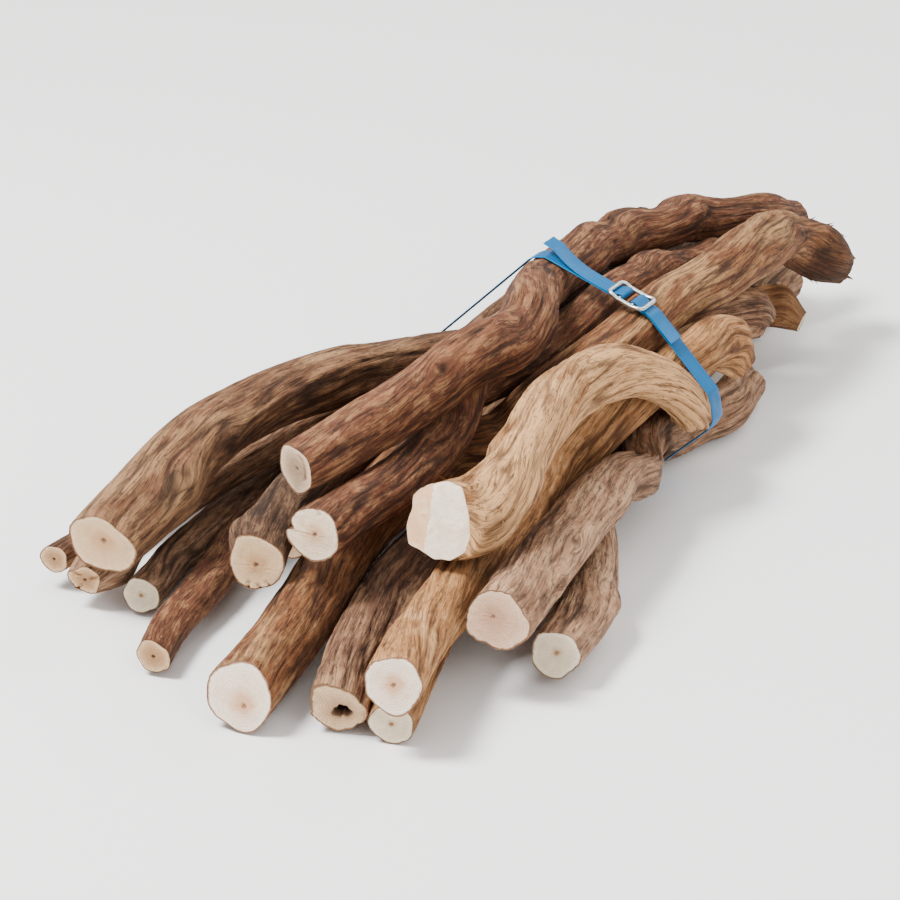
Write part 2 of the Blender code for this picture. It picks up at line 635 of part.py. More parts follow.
def ribbon_mesh(name, path, width, thickness):
    """A flat strip along a path whose width lies along Y."""
    body = bmesh.new()
    rows = []
    for k, point in enumerate(path):
        run = path[min(k + 1, len(path) - 1)] - path[max(k - 1, 0)]
        run = Vector((run.x, 0, run.z)).normalized()
        out = Vector((run.z, 0, -run.x)) * (thickness / 2)
        across = Vector((0, width / 2, 0))
        rows.append([body.verts.new(point + a + o) for a, o in
                     ((across, out), (-across, out), (-across, -out), (across, -out))])
    for before, after in zip(rows[:-1], rows[1:]):
        for j in range(4):
            body.faces.new((before[j], before[(j + 1) % 4], after[(j + 1) % 4], after[j]))
    body.faces.new(rows[0])
    body.faces.new(rows[-1])
    bmesh.ops.recalc_face_normals(body, faces=body.faces)
    if body.calc_volume(signed=True) < 0:
        bmesh.ops.reverse_faces(body, faces=body.faces)
    mesh = bpy.data.meshes.new(name)
    body.to_mesh(mesh)
    body.free()
    return mesh


# The buckle: a loop of round wire with two bars across it

def wire_mesh(name, path, radius, closed):
    """A round wire along a path, either closed on itself or with flat ends."""
    body = bmesh.new()
    rings = []
    count = len(path)
    for k, point in enumerate(path):
        before = path[k - 1] if closed or k else path[k]
        after = path[(k + 1) % count] if closed or k < count - 1 else path[k]
        run = (after - before).normalized()
        up = Vector((0, 0, 1))
        side = run.cross(up).normalized()
        up = side.cross(run)
        turns = [2 * math.pi * j / WIRE_SIDES for j in range(WIRE_SIDES)]
        rings.append([body.verts.new(point + (math.cos(a) * side + math.sin(a) * up) * radius) for a in turns])
    for k in range(count if closed else count - 1):
        before, after = rings[k], rings[(k + 1) % count]
        for j in range(WIRE_SIDES):
            n = (j + 1) % WIRE_SIDES
            body.faces.new((before[j], before[n], after[n], after[j]))
    if not closed:
        body.faces.new(rings[0])
        body.faces.new(rings[-1])
    bmesh.ops.recalc_face_normals(body, faces=body.faces)
    if body.calc_volume(signed=True) < 0:
        bmesh.ops.reverse_faces(body, faces=body.faces)
    mesh = bpy.data.meshes.new(name)
    body.to_mesh(mesh)
    body.free()
    mesh.shade_smooth()
    mesh.set_sharp_from_angle(angle=math.radians(50))
    return mesh


def buckle_height(along):
    """Height of the wire's middle above the strap's: low at the bars, high where it crosses the tails."""
    bar = WIRE_RADIUS + CLEARANCE + STRAP_THICKNESS / 2
    end = STRAP_THICKNESS * 1.5 + 3 * CLEARANCE + WIRE_RADIUS
    share = max(0.0, (abs(along) - BAR_SPACING / 2) / (BUCKLE_LENGTH / 2 - BAR_SPACING / 2))
    return bar + (end - bar) * min(share, 1.0)


def make_buckle(band, parent, finish):
    """The loop and its bars are made lying flat, and the loop is then set on the strap by its turn."""
    half_length, half_width = BUCKLE_LENGTH / 2, STRAP_WIDTH / 2 + WIRE_RADIUS + BUCKLE_SIDE_GAP
    radius = BUCKLE_CORNER
    outline = []
    for corner in range(4):
        cx = (half_length - radius) * (1 if corner in (0, 3) else -1)
        cy = (half_width - radius) * (1 if corner < 2 else -1)
        for step in range(4):
            angle = math.radians(90 * corner + 30 * step)
            outline.append((cx + radius * math.cos(angle), cy + radius * math.sin(angle)))
        if corner in (0, 2):
            side = 1 if corner == 0 else -1
            outline += [(side * BAR_SPACING / 2, side * half_width), (-side * BAR_SPACING / 2, side * half_width)]
    loop = [Vector((x, y, buckle_height(x))) for x, y in outline]
    buckle = new_object("wire_buckle", wire_mesh("wire_buckle", loop, WIRE_RADIUS, True), parent, finish)
    for k, side in enumerate((-1, 1)):
        at = side * BAR_SPACING / 2
        ends = [Vector((at, -half_width, buckle_height(at))), Vector((at, half_width, buckle_height(at)))]
        bar = new_object(f"buckle_bar_{k + 1}", wire_mesh("bar", ends, WIRE_RADIUS * BAR_SHARE_OF_WIRE, False), buckle, finish)
        bar.hide_render = True
        bar.display_type = "WIRE"
        join = buckle.modifiers.new("bar", "BOOLEAN")
        join.operation = "UNION"
        join.object = bar
    normal = band.normal(0.0)
    x, z = band.at(0.0)
    buckle.location = (x, STRAP_Y, z)
    buckle.rotation_euler = (0, math.atan2(normal[0], normal[1]), 0)
    return buckle


def main():
    clear_scene()
    bundle = bpy.data.objects.new("bundle", None)
    bpy.context.scene.collection.objects.link(bundle)
    stems = make_stems(bundle)
    seat_groups(stems)
    lay_flat(stems)
    band = Band(stems)
    blue = material("polypropylene_strap", STRAP_BLUE, 0.4)
    path = strap_points(band)
    strap = new_object("strap", ribbon_mesh("strap", path, STRAP_WIDTH, STRAP_THICKNESS), bundle, blue)
    make_buckle(band, bundle, material("galvanised_wire", WIRE_GREY, 0.35, 1.0))
    corners = np.vstack([whole_turn(thing) for thing in [*stems, strap]])
    low, high = corners.min(0), corners.max(0)
    print("lowest point of the strap, mm:", round(whole_turn(strap)[:, 2].min() / MM, 2))
    bundle.location = (-(low[0] + high[0]) / 2, -(low[1] + high[1]) / 2, -low[2])


main()
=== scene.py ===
# %% [markdown]
# # A strapped bundle of liana vine stems
#
# Liana is a woody climber. Its stems are sawn to length, dried, and sold in bundles under a blue
# plastic strap with a buckle of bent wire. The solids already give each stem its place, its bends
# and its thickness. What is missing is what the hand would feel: ropes of fibre that turn slowly
# round the stem, creases between them, knots, and pale sawn ends.
#
# A plain texture on the solids would look like printed paper from a step away, because the eye
# reads bark by its broken outline and by the shadows in its creases. So each stem is made again as
# a fine mesh that keeps the form of its solid, and the shaders only add what is finer than that.

# %% Load the frame
import itertools
import math

import bmesh
import bpy
import numpy as np
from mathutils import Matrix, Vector


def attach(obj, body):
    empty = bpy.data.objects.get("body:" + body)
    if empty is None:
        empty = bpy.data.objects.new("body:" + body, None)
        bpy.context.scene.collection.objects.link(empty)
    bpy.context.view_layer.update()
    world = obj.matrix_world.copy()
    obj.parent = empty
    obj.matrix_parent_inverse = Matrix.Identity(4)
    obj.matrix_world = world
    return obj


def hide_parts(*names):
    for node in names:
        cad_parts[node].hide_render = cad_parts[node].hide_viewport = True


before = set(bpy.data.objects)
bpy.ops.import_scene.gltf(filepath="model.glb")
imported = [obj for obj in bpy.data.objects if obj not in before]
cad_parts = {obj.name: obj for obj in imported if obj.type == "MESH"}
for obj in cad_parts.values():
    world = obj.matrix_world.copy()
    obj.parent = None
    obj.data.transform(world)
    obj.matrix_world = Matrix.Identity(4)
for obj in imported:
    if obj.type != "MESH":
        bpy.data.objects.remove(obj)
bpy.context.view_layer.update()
MM = 0.001

# %% [markdown]
# ## Where the eye stands
#
# The camera could be put anywhere with a view from the front right. The photograph was taken from
# about 2.6 m away and 1.2 m up, and that distance sets how fast the far ends shrink. So the camera
# keeps that place, and a longer lens fills the frame with the bundle.

# %% Place the camera
EYE = Vector((1.1705, -2.0279, 1.1579))
AIM = Vector((-0.003, -0.083, 0.060))
LENS = 140


def into_scene(name, data):
    made = bpy.data.objects.new(name, data)
    bpy.context.scene.collection.objects.link(made)
    return made


eye = into_scene("eye", bpy.data.cameras.new("eye"))
eye.location = EYE
eye.rotation_mode = "QUATERNION"
eye.rotation_quaternion = (AIM - EYE).to_track_quat("-Z", "Y")
eye.data.sensor_width = 36
eye.data.lens = LENS
bpy.context.scene.camera = eye
print("camera to bundle, m:", round((AIM - EYE).length, 2))

# %% [markdown]
# ## Reading a stem back from its solid
#
# Each stem's solid is a row of rings, closed by a flat sawn end at both sides. A fine mesh could be
# wrapped onto it by shrinking a cloth round it, but then nothing would say which way the fibres
# run. The rings do say it: their corners were turned with the grain. So the flat ends are taken
# off, which leaves an open tube, and its corners are read back ring by ring.

# %% Open the solid of a stem
FLAT_WITHIN = 0.02 * MM
FEWEST_IN_END = 10


def neighbours(vert, among, on_edge=False):
    return [e.other_vert(vert) for e in vert.link_edges
            if e.other_vert(vert) in among and (e.is_boundary or not on_edge)]


def flat_ends(body, back_only):
    """Faces of the flat ends: n - 2 triangles on n corners, or n triangles round a hollow."""
    half_way = np.mean([v.co.y for v in body.verts])
    spots = np.array([v.co[:] for v in body.verts])
    corners = np.array([[v.index for v in f.verts] for f in body.faces])
    found = set()
    for face in body.faces:
        if back_only and face.verts[0].co.y < half_way:
            continue
        near = np.abs((spots - spots[face.verts[0].index]) @ np.array(face.normal)) < FLAT_WITHIN
        group = np.flatnonzero(near[corners].all(axis=1))
        if len(group) >= FEWEST_IN_END and len(group) in (near.sum() - 2, near.sum()):
            found.update(group.tolist())
    return [body.faces[k] for k in found]


def open_tube(node, back_only):
    """A stem's solid without its flat ends, and its open edges as rings of corners."""
    body = bmesh.new()
    body.from_mesh(node.data)
    bmesh.ops.remove_doubles(body, verts=body.verts, dist=1e-6)
    body.verts.index_update()
    body.faces.ensure_lookup_table()
    bmesh.ops.delete(body, geom=flat_ends(body, back_only), context="FACES")
    left, edges = {v for e in body.edges if e.is_boundary for v in e.verts}, []
    while left:
        edge = [left.pop()]
        while near := neighbours(edge[-1], left, True):
            edge.append(near[0])
            left.discard(near[0])
        edges.append(edge)
    return body, edges


# %% [markdown]
# Two things are read from the open tube. The rings of the stem itself run from its front edge to
# its back edge. The roped stem has a second, small tube inside its front end, which is the hollow
# of its pith, and its two edges are the lip and the bottom of that hollow.

# %% Read the rings of every stem
WITHIN_FACE = 0.65


def middle_of(ring):
    return sum((v.co for v in ring), Vector()) / len(ring)


def width_of(ring):
    return max((v.co - middle_of(ring)).length for v in ring)


def radii(points):
    """How far each point of a ring, or of many rings, is from the middle of its ring."""
    return np.linalg.norm(points - points.mean(axis=-2, keepdims=True), axis=-1)


def read_rings(node, chopped):
    """The corners of a stem (ring, side, xyz) from front to back, and the edges of its hollow.

    A front ring that is much smaller than the next lies within a chopped face, and is left out.
    """
    body, edges = open_tube(node, chopped)
    edges.sort(key=width_of, reverse=True)
    hollow = sorted(edges[2:], key=lambda ring: middle_of(ring).y)
    hollow = [np.array([v.co[:] for v in ring]) for ring in hollow]
    back = max(edges[:2], key=lambda ring: middle_of(ring).y)
    seen, levels = set(back), [back]
    while near := {e.other_vert(v) for v in levels[-1] for e in v.link_edges} - seen:
        seen |= near
        levels.append(list(near))
    levels = [level for level in levels if len(level) == len(back)]
    single = [v for v in back if len(neighbours(v, set(levels[1]))) == 1]
    first = max(single, key=lambda v: v.co.z)
    second = min(neighbours(first, set(back)), key=lambda v: v.co.x)
    found = []
    for k, level in enumerate(levels):
        ring, among = [first, second], set(level)
        while len(ring) < len(level):
            ring.append(next(v for v in neighbours(ring[-1], among) if v is not ring[-2]))
        found.append([v.co[:] for v in ring])
        if k + 1 < len(levels):
            beyond = set(levels[k + 1])
            first = neighbours(first, beyond)[0]
            second = next(v for v in neighbours(first, beyond) if v in neighbours(second, beyond))
    body.free()
    found = np.array(found[::-1])
    sizes = radii(found).mean(axis=1)
    return found[int(sizes[0] < WITHIN_FACE * sizes[1]):], hollow


rings, hollows = {}, {}
for name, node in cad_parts.items():
    if name.startswith("stem_"):
        rings[name], hollows[name] = read_rings(node, chopped=name == "stem_hooked")
        print(name, "rings and sides:", rings[name].shape[:2], "edges of a hollow:", len(hollows[name]))

# %% [markdown]
# ## From rings to a fine skin
#
# The solid has a corner every 7 to 25 mm. Fibres are 2 to 6 mm wide, so the skin needs a point
# about every 1.3 mm round the stem and every 2.4 mm along it. A Subdivision modifier would shrink
# the form. A Catmull-Rom curve passes through every corner that it is given, so it is used both
# ways: first round each ring, then along the stem. Only the rim of the chopped end keeps straight
# edges.

# %% Refine the rings
ROUND_STEP = 1.3 * MM
ALONG_STEP = 2.4 * MM


def curve_through(points, places, closed):
    """Points of a Catmull-Rom curve through the first axis of an array, at fractional places."""
    count = len(points)
    if closed:
        padded = np.concatenate([points[-1:], points, points[:2]])
    else:
        padded = np.concatenate([2 * points[:1] - points[1:2], points, 2 * points[-1:] - points[-2:-1]])
    first = np.minimum(places.astype(int), count - (1 if closed else 2))
    t = (places - first).reshape(-1, *[1] * (points.ndim - 1))
    a, b, c, d = (padded[first + k] for k in range(4))
    return 0.5 * (2 * b + (c - a) * t + (2 * a - 5 * b + 4 * c - d) * t**2 + (3 * b - a - 3 * c + d) * t**3)


def straight_through(points, places):
    """Points on the straight lines round a closed ring, at fractional places."""
    first = places.astype(int)
    share = (places - first)[:, None]
    return points[first] * (1 - share) + points[(first + 1) % len(points)] * share


def refine(coarse, angular_end):
    """A fine grid (row along the stem, place round it, xyz) through the corners of a stem."""
    length = np.linalg.norm(np.diff(coarse.mean(axis=1), axis=0), axis=1).sum()
    columns = int(2 * math.pi * radii(coarse).mean() / ROUND_STEP)
    places = np.arange(columns) * coarse.shape[1] / columns
    turned = curve_through(coarse.transpose(1, 0, 2), places, True)
    if angular_end:
        turned[:, 0] = straight_through(coarse[0], places)
    rows = np.linspace(0, len(coarse) - 1, int(length / ALONG_STEP))
    return curve_through(turned.transpose(1, 0, 2), rows, False)


def facing(grid):
    """The outward unit vector at each point of a stem's grid."""
    along = np.gradient(grid, axis=0)
    turn = np.roll(grid, -1, axis=1) - np.roll(grid, 1, axis=1)
    out = np.cross(turn, along)
    out /= np.linalg.norm(out, axis=2)[..., None]
    flip = ((grid - grid.mean(axis=1, keepdims=True)) * out).sum() < 0
    return -out if flip else out


print("a point every mm, round and along:", ROUND_STEP / MM, ALONG_STEP / MM)

# %% [markdown]
# ## Noise that runs with the grain
#
# Bark has no pattern that repeats, so its relief comes from noise. Blender's Displace modifier
# could add it, but only with patterns that know nothing of the grain. So the noise is made here,
# for all the points of a stem at once, on the stem as if it were straight: x and y across it, z
# along it. Cells that are 6 mm across and 80 mm along then give fibres.

# %% Make the noise
CELLS = 256
draw = np.random.default_rng(11)
ORDER = draw.permutation(CELLS)
SLOPES = draw.normal(size=(CELLS, 3))
SLOPES /= np.linalg.norm(SLOPES, axis=1)[:, None]


def noise(points, seed):
    """Gradient noise, about -1 to 1, with one cell per unit."""
    cell = np.floor(points).astype(int)
    inside = points - cell
    ease = inside**3 * (inside * (inside * 6 - 15) + 10)
    total = np.zeros(points.shape[:-1])
    for corner in itertools.product((0, 1), repeat=3):
        spot = cell + corner
        pick = seed
        for axis in range(3):
            pick = ORDER[(pick + spot[..., axis]) % CELLS]
        rise = (SLOPES[pick] * (inside - corner)).sum(axis=-1)
        total += rise * np.prod(np.where(corner, ease, 1 - ease), axis=-1)
    return 1.7 * total


def smooth_step(values, low, high):
    share = np.clip((values - low) / (high - low), 0, 1)
    return share * share * (3 - 2 * share)


sample = noise(np.linspace(0, 90, 3000).reshape(1000, 3), 1)
print("noise runs from", sample.min().round(2), "to", sample.max().round(2))

# %% [markdown]
# ## What each stem is like
#
# No two stems look alike: some keep a reddish, mottled bark, some have lost it down to pale wood,
# and one is roped and dark with a hollow pith. Sixteen separate scripts would hide what they share.
# One table says how each differs. Lump, cord and crease are heights in millimetres, and worn is how
# much of the bark is rubbed pale. A knot is a share of the length, the direction that it faces, its
# radius and its height. A tone is a share of the length and how much paler (up to 1) or darker
# (down to -1) the stem is there. The pith's place is a share of the radius, right and up from the
# middle. A check is a drying crack: its angle, where it starts and ends between pith and bark, and
# its width.

# %% List the stems
STEMS = {
    "stem_mottled_top": dict(
        bark="mottled_brown", face="grey_heart_sawn", seed=1, lump=1.0, cord=0.8, crease=0.7, worn=0.25,
        knots=[(0.30, (0.3, -0.6, 0.8), 9, 2.5), (0.37, (0.9, 0, -0.3), 11, 3.5),
               (0.2, (0.6, -0.4, 0.6), 7, 1.5)],
        tones=[(0, 0.05), (0.28, 0.15), (0.38, 0.4), (0.5, 0), (1, 0)], pith=(0.10, 0.05), crescent=True),
    "stem_notched": dict(
        bark="mottled_brown", face="cream_sawn", seed=2, lump=0.9, cord=0.9, crease=0.8, worn=0.15,
        knots=[(0.25, (0.6, -0.5, 0.7), 8, 2)], tones=[(0, 0), (0.3, -0.15), (1, 0)], pith=(0.05, 0),
        notch=True, checks=[(80, 0.72, 0.84, 0.8)]),
    "stem_nubbed": dict(
        bark="weathered_dark", face="beige_sawn", seed=3, lump=0.9, cord=0.9, crease=0.9, worn=0.1,
        knots=[(0.12, (0.5, -0.5, 0.7), 8, 2)], tones=[(0, 0.1), (0.1, -0.1), (1, -0.2)], pith=(0, -0.1),
        nub=True, checks=[(250, 0.72, 1.0, 0.9), (275, 0.8, 1.0, 0.7), (300, 0.76, 1.0, 0.6)]),
    "stem_slim_left": dict(
        bark="mottled_brown", face="browned_sawn", seed=4, lump=0.7, cord=0.5, crease=0.6, worn=0.15,
        knots=[(0.13, (0.6, -0.3, 0.8), 6, 1.5)], tones=[(0, 0.1), (0.25, 0), (0.5, -0.4), (1, -0.4)]),
    "stem_stout": dict(
        bark="reddish", face="fresh_sawn", seed=5, lump=1.0, cord=1.0, crease=0.9, worn=0.22,
        knots=[(0.88, (0.9, 0, 0.4), 9, 2.5), (0.95, (0.5, 0.2, 0.8), 8, 3)],
        tones=[(0, 0.25), (0.1, 0.1), (0.2, -0.05), (0.45, 0), (0.62, 0.55), (0.86, 0.6), (0.92, 0),
               (0.95, -0.8), (1, -0.9)], pith=(0.15, -0.3), rootlets=True),
    "stem_hollow_pith": dict(
        bark="roped_dark", face="hollowed_sawn", seed=6, lump=0.6, cord=1.5, crease=2.0, worn=0.3,
        knots=[(0.2, (0.5, -0.5, 0.8), 8, 2)],
        tones=[(0, 0.3), (0.06, 0.1), (0.2, -0.3), (0.6, 0), (1, 0.1)]),
    "stem_tan": dict(
        bark="pale_tan", face="fresh_sawn", seed=7, lump=0.6, cord=1.1, crease=1.3, worn=0.3,
        knots=[(0.09, (0.8, -0.5, 0.4), 5, 1.2), (0.93, (0.9, 0.2, 0.2), 9, 3)],
        tones=[(0, 0.2), (0.15, 0), (0.3, -0.3), (0.6, -0.2), (0.85, 0.1), (1, 0.15)]),
    "stem_slim_under": dict(
        bark="pale_tan", face="grey_green_sawn", seed=8, lump=0.6, cord=0.6, crease=0.8, worn=0.2,
        tones=[(0, 0), (0.5, -0.2), (0.8, -0.5), (1, -0.65)]),
    "stem_hooked": dict(
        bark="pale_tan", face="chopped", seed=9, lump=1.0, cord=1.6, crease=1.6, worn=0.7,
        knots=[(0.12, (0.9, -0.4, -0.2), 13, 4), (0.10, (0.2, -0.4, 0.9), 8, 2.5)],
        tones=[(0, 0.1), (0.05, -0.15), (0.1, 0.3), (0.5, 0.2), (1, 0)], splinters=True),
    "stem_grey_right": dict(
        bark="grey_brown", face="pinkish_sawn", seed=10, lump=0.8, cord=1.3, crease=1.7, worn=0.3,
        knots=[(0.12, (0.8, -0.5, 0.2), 6, 1.8), (0.2, (0.4, -0.3, 0.9), 6, 1.2)],
        tones=[(0, 0.1), (0.35, 0), (0.5, -0.25), (1, 0)], pith=(-0.15, 0.1)),
    "stem_lumpy_right": dict(
        bark="grey_brown", face="grey_green_sawn", seed=11, lump=1.3, cord=1.1, crease=1.1, worn=0.35,
        knots=[(0.12, (0.9, -0.2, 0.4), 10, 3)], tones=[(0, 0.2), (0.3, 0.1), (1, 0)], pith=(0.05, 0.1)),
    "stem_knotty_left": dict(
        bark="weathered", face="beige_sawn", seed=12, lump=1.4, cord=1.2, crease=1.2, worn=0.45,
        knots=[(0.1, (0.7, -0.3, 0.6), 12, 3.5), (0.17, (0.9, -0.2, -0.1), 10, 3)],
        tones=[(0, 0.2), (0.2, 0.1), (0.5, -0.2), (1, -0.2)], pith=(0.1, 0.2)),
    "stem_thin_left": dict(
        bark="weathered", face="browned_sawn", seed=13, lump=0.5, cord=0.4, crease=0.5, worn=0.2,
        tones=[(0, 0), (1, -0.2)]),
    "stem_knobbed": dict(
        bark="grey_brown", face="browned_sawn", seed=14, lump=1.4, cord=0.8, crease=0.9, worn=0.3,
        knots=[(0.03, (0.3, -0.3, 0.9), 6, 3), (0.05, (0.9, -0.3, 0), 6, 2)], tones=[(0, 0), (1, -0.2)],
        checks=[(20, 0.3, 1.0, 1.2), (150, 0.4, 1.0, 1.4), (235, 0.5, 1.0, 1.0)]),
    "stem_low_left": dict(
        bark="grey_brown", face="grey_green_sawn", seed=15, lump=0.6, cord=0.6, crease=0.7, worn=0.2,
        tones=[(0, 0), (1, -0.3)]),
    "stem_inner": dict(
        bark="mottled_brown", face="beige_sawn", seed=16, lump=0.8, cord=0.9, crease=0.8, worn=0.1,
        tones=[(0, 0), (1, 0)]),
}
print("stems:", len(STEMS), "knots:", sum(len(stem.get("knots", ())) for stem in STEMS.values()))

# %% [markdown]
# ## The relief of the bark
#
# Up close the bark is a bundle of ropes: cords about 15 mm apart that wander and merge, creases a
# few millimetres apart where the fibres part, and a fine fibre on top. A crease is where a noise
# passes through zero, which draws thin lines that fork and meet as real ones do. Knots push the
# grain aside: the across coordinate shrinks towards the knot, so all the lines flow round it.

# %% Place the points on the straightened stem
SWAY, SWAY_ACROSS, SWAY_ALONG = 3.4, 26, 55
FAR_APART = 1000


def grain_places(grid, out, stem):
    """Places in mm on the straightened stem: across twice and along, pushed aside by the knots."""
    along = np.linalg.norm(np.diff(grid.mean(axis=1), axis=0), axis=1)
    along = np.concatenate([[0], np.cumsum(along)]) / MM
    radius = radii(grid).mean() / MM
    angle = np.arange(grid.shape[1]) * 2 * math.pi / grid.shape[1]
    across = np.broadcast_to(angle * radius, grid.shape[:2]).copy()
    run = np.broadcast_to(along[:, None], grid.shape[:2]).copy()
    bulge, pit = np.zeros(grid.shape[:2]), np.zeros(grid.shape[:2])
    for share, towards, size, height in stem.get("knots", ()):
        row = int(share * (len(grid) - 1))
        column = np.argmax(out[row] @ np.array(towards))
        aside = ((angle - angle[column] + math.pi) % (2 * math.pi) - math.pi) * radius
        ahead = along[:, None] - along[row]
        near = (aside[None, :] / size) ** 2 + (ahead / (1.5 * size)) ** 2
        across -= 0.8 * aside[None, :] * np.exp(-near / 1.6)
        bulge += height * (np.exp(-near * 1.3) - 0.5 * np.exp(-near * 12))
        # The pit is the hollow in a knot's middle, which the bark paints dark as painted shade.
        pit += np.exp(-near * 9)

    def rolled(scale, far):
        turn = across / radius
        return np.stack([np.cos(turn) * radius / scale, np.sin(turn) * radius / scale, far], axis=-1)

    across += SWAY * noise(rolled(SWAY_ACROSS, run / SWAY_ALONG), stem["seed"])
    return rolled(1, run + FAR_APART * stem["seed"]), bulge, pit


# %% [markdown]
# Most of the relief goes inwards from the solid, so that the stems keep clear of each other and of
# the strap. What stands up is held to a third of a millimetre, and only knots rise above that.

# %% Work out the relief
LUMPS, CORDS, CREASES, SMALL_CREASES = (38, 55), (17, 150), (7.4, 95), (4.2, 44)
FIBRES, KNURLS, WORN_PATCHES, OPEN_PARTS, DARK_PATCHES = (2.3, 20), (7, 13), (13, 40), (22, 90), (20, 45)
KNURL_HEIGHT, FIBRE_HEIGHT = 0.28, 0.2
SINK = 0.5
MOST_PROUD = 0.35
CALM_NEAR_CUT = 14


def layer(places, size, seed):
    return noise(places / (size[0], size[0], size[1]), seed)


def relief(places, bulge, pit, stem):
    """Height in mm over the solid, how deep each point lies in a crease, which is the mask of painted
    shade, and how worn and dark it is.
    """
    seed = 20 * stem["seed"]
    lumps, cords = layer(places, LUMPS, seed + 1), layer(places, CORDS, seed + 2)
    lines = layer(places, CREASES, seed + 3)
    fibres, knurls = layer(places, FIBRES, seed + 5), layer(places, KNURLS, seed + 9)
    open_here = smooth_step(layer(places, OPEN_PARTS, seed + 6), -0.5, 0.3)
    crease = np.exp(-(lines / 0.15) ** 2) * (0.3 + 0.7 * open_here)
    small = np.exp(-(layer(places, SMALL_CREASES, seed + 4) / 0.2) ** 2) * (1 - 0.4 * open_here)
    ropes = np.abs(lines)
    # The depth in the creases, with the knots' pits, is the mask of painted shade in the bark.
    depth = np.clip(crease + 0.45 * small, 0, 1)
    height = stem["lump"] * lumps + stem["cord"] * cords + 0.9 * stem["crease"] * np.minimum(ropes, 0.6)
    height += KNURL_HEIGHT * knurls + FIBRE_HEIGHT * fibres - stem["crease"] * (0.55 * crease + 0.4 * small)
    run = places[:, :1, 2]
    from_cut = np.minimum(run - run[0], run[-1] - run)
    height = height * (0.5 + 0.5 * smooth_step(from_cut, 0, CALM_NEAR_CUT)) - SINK
    share = (run - run[0]) / (run[-1] - run[0])
    tone = np.interp(share, *zip(*stem["tones"])) + 0.12 * lumps * (share > 0.02)
    top = 0.4 * cords + 0.5 * ropes + layer(places, WORN_PATCHES, seed + 7) + 0.35 * knurls
    worn = smooth_step(top + 1.2 * tone, 0.95 - 2 * stem["worn"], 1.7 - 2 * stem["worn"])
    dark = np.clip(-tone * (1.1 + 0.9 * layer(places, DARK_PATCHES, seed + 8)), 0, 1)
    return np.minimum(height, MOST_PROUD) + bulge, np.clip(depth + 0.7 * pit, 0, 1), worn, dark


# %% [markdown]
# ## The sawn ends
#
# A saw leaves a flat face across all the wood: a thin line of bark, a band of pale sapwood, darker
# heartwood, and the pith, which is seldom in the middle. The face could be one flat polygon. It is
# made as rows of points that close in on the pith instead, because growth rings do the same, so
# a point's place between the pith and the bark gives the sapwood and the heart in the shader. The
# drying cracks are real dents in these rows, and so is the bow-shaped crack of one stem, which
# follows a growth ring.

# %% Make the rows of an end
END_ROWS = 17
RIM_SHARE = 0.985
CHECK_DEPTH = 2.4
BOW_MIDDLE, BOW_RADIUS, BOW_DEPTH = (-7, -1), 15, 3.0


def end_frame(rim, axis):
    """The middle and mean radius of an end, and two directions across it."""
    up = np.array((0.0, 0.0, 1.0)) - axis * axis[2]
    up /= np.linalg.norm(up)
    return rim.mean(axis=0), radii(rim).mean(), np.cross(up, axis), up


def on_end(points, middle, right, up):
    """Where points lie on an end, to the right and upwards, and the same in mm, for noise."""
    x, y = (points - middle) @ right, (points - middle) @ up
    return x, y, np.stack([x, y, 0 * x], axis=-1) / MM


def cut_places(x, y, share):
    """What the shader of cut wood reads: the place on the face, and the share from pith to bark."""
    return np.stack([x, y, np.broadcast_to(share, x.shape)], axis=-1)


def dent_of_checks(checks, x, y, share):
    """How deep in mm the drying cracks are at each point of an end."""
    dent = np.zeros(x.shape)
    for angle, start, stop, width in checks:
        turn = math.radians(angle)
        off = (np.cos(turn) * y - np.sin(turn) * x) / MM + 0.5 * np.sin(share * 19 + angle)
        ahead = (np.cos(turn) * x + np.sin(turn) * y) > 0
        reach = smooth_step(share, start - 0.06, start + 0.06)
        reach *= 1 - smooth_step(share, stop - 0.02, stop + 0.08)
        dent += CHECK_DEPTH * np.exp(-(off / width) ** 2) * ahead * reach
    return dent


def dent_of_bow(x, y):
    """The same for the crack that follows a growth ring."""
    off = np.hypot(x / MM - BOW_MIDDLE[0], y / MM - BOW_MIDDLE[1]) - BOW_RADIUS
    reach = smooth_step(y / MM, -9, -4) * (1 - smooth_step(y / MM, 8, 12))
    return BOW_DEPTH * np.exp(-off**2) * (x > 0) * reach


def end_rows(rim, axis, stem, seed, front):
    """Rows of points from the rim of an end in to its pith, and their places on the face."""
    middle, size, right, up = end_frame(rim, axis)
    pith_right, pith_up = stem.get("pith", (0, 0))
    pith = middle + (right * pith_right + up * pith_up) * size
    rows, places = [], []
    for share in (RIM_SHARE, *np.linspace(0.955, 0.05, END_ROWS)):
        flat = pith + (rim - pith) * share
        x, y, spot = on_end(flat, pith, right, up)
        saw_marks = 0.08 * np.sin(y / MM * 2.4)
        dent = 0.16 * noise(spot / 2.8, seed) + 0.55 * noise(spot / 15, seed + 1) + saw_marks
        dent -= 0.5 * smooth_step(share, 0.95, 1.0) + 0.9 * (share < 0.08)
        if front:
            dent -= dent_of_checks(stem.get("checks", ()), x, y, share)
        if front and stem.get("crescent"):
            dent -= dent_of_bow(x, y)
        rows.append(flat + axis * (dent - 0.15)[:, None] * MM)
        places.append(cut_places(x, y, share))
    return np.array(rows), np.array(places)


# %% [markdown]
# Two stems end in another way. The hooked stem was chopped off in two strokes, so its end is two
# planes that meet in a ridge, and its outline keeps straight edges and corners. Its solid has the
# same two planes at sixteen corners. They are found again by trying every way to share the corners
# between two planes and keeping the one that fits, and then every fine point is laid on them.

# %% Make the chopped end
INNER_STEPS = 10
FEWEST_ON_STROKE = 4


def face_out(rim, inner):
    """The unit vector straight out of an end."""
    flat = np.linalg.svd(rim - rim.mean(axis=0))[2][2]
    return flat if flat @ (rim.mean(axis=0) - inner.mean(axis=0)) > 0 else -flat


def plane_table(x, y):
    return np.stack([np.ones(len(x)), x, y], axis=1)


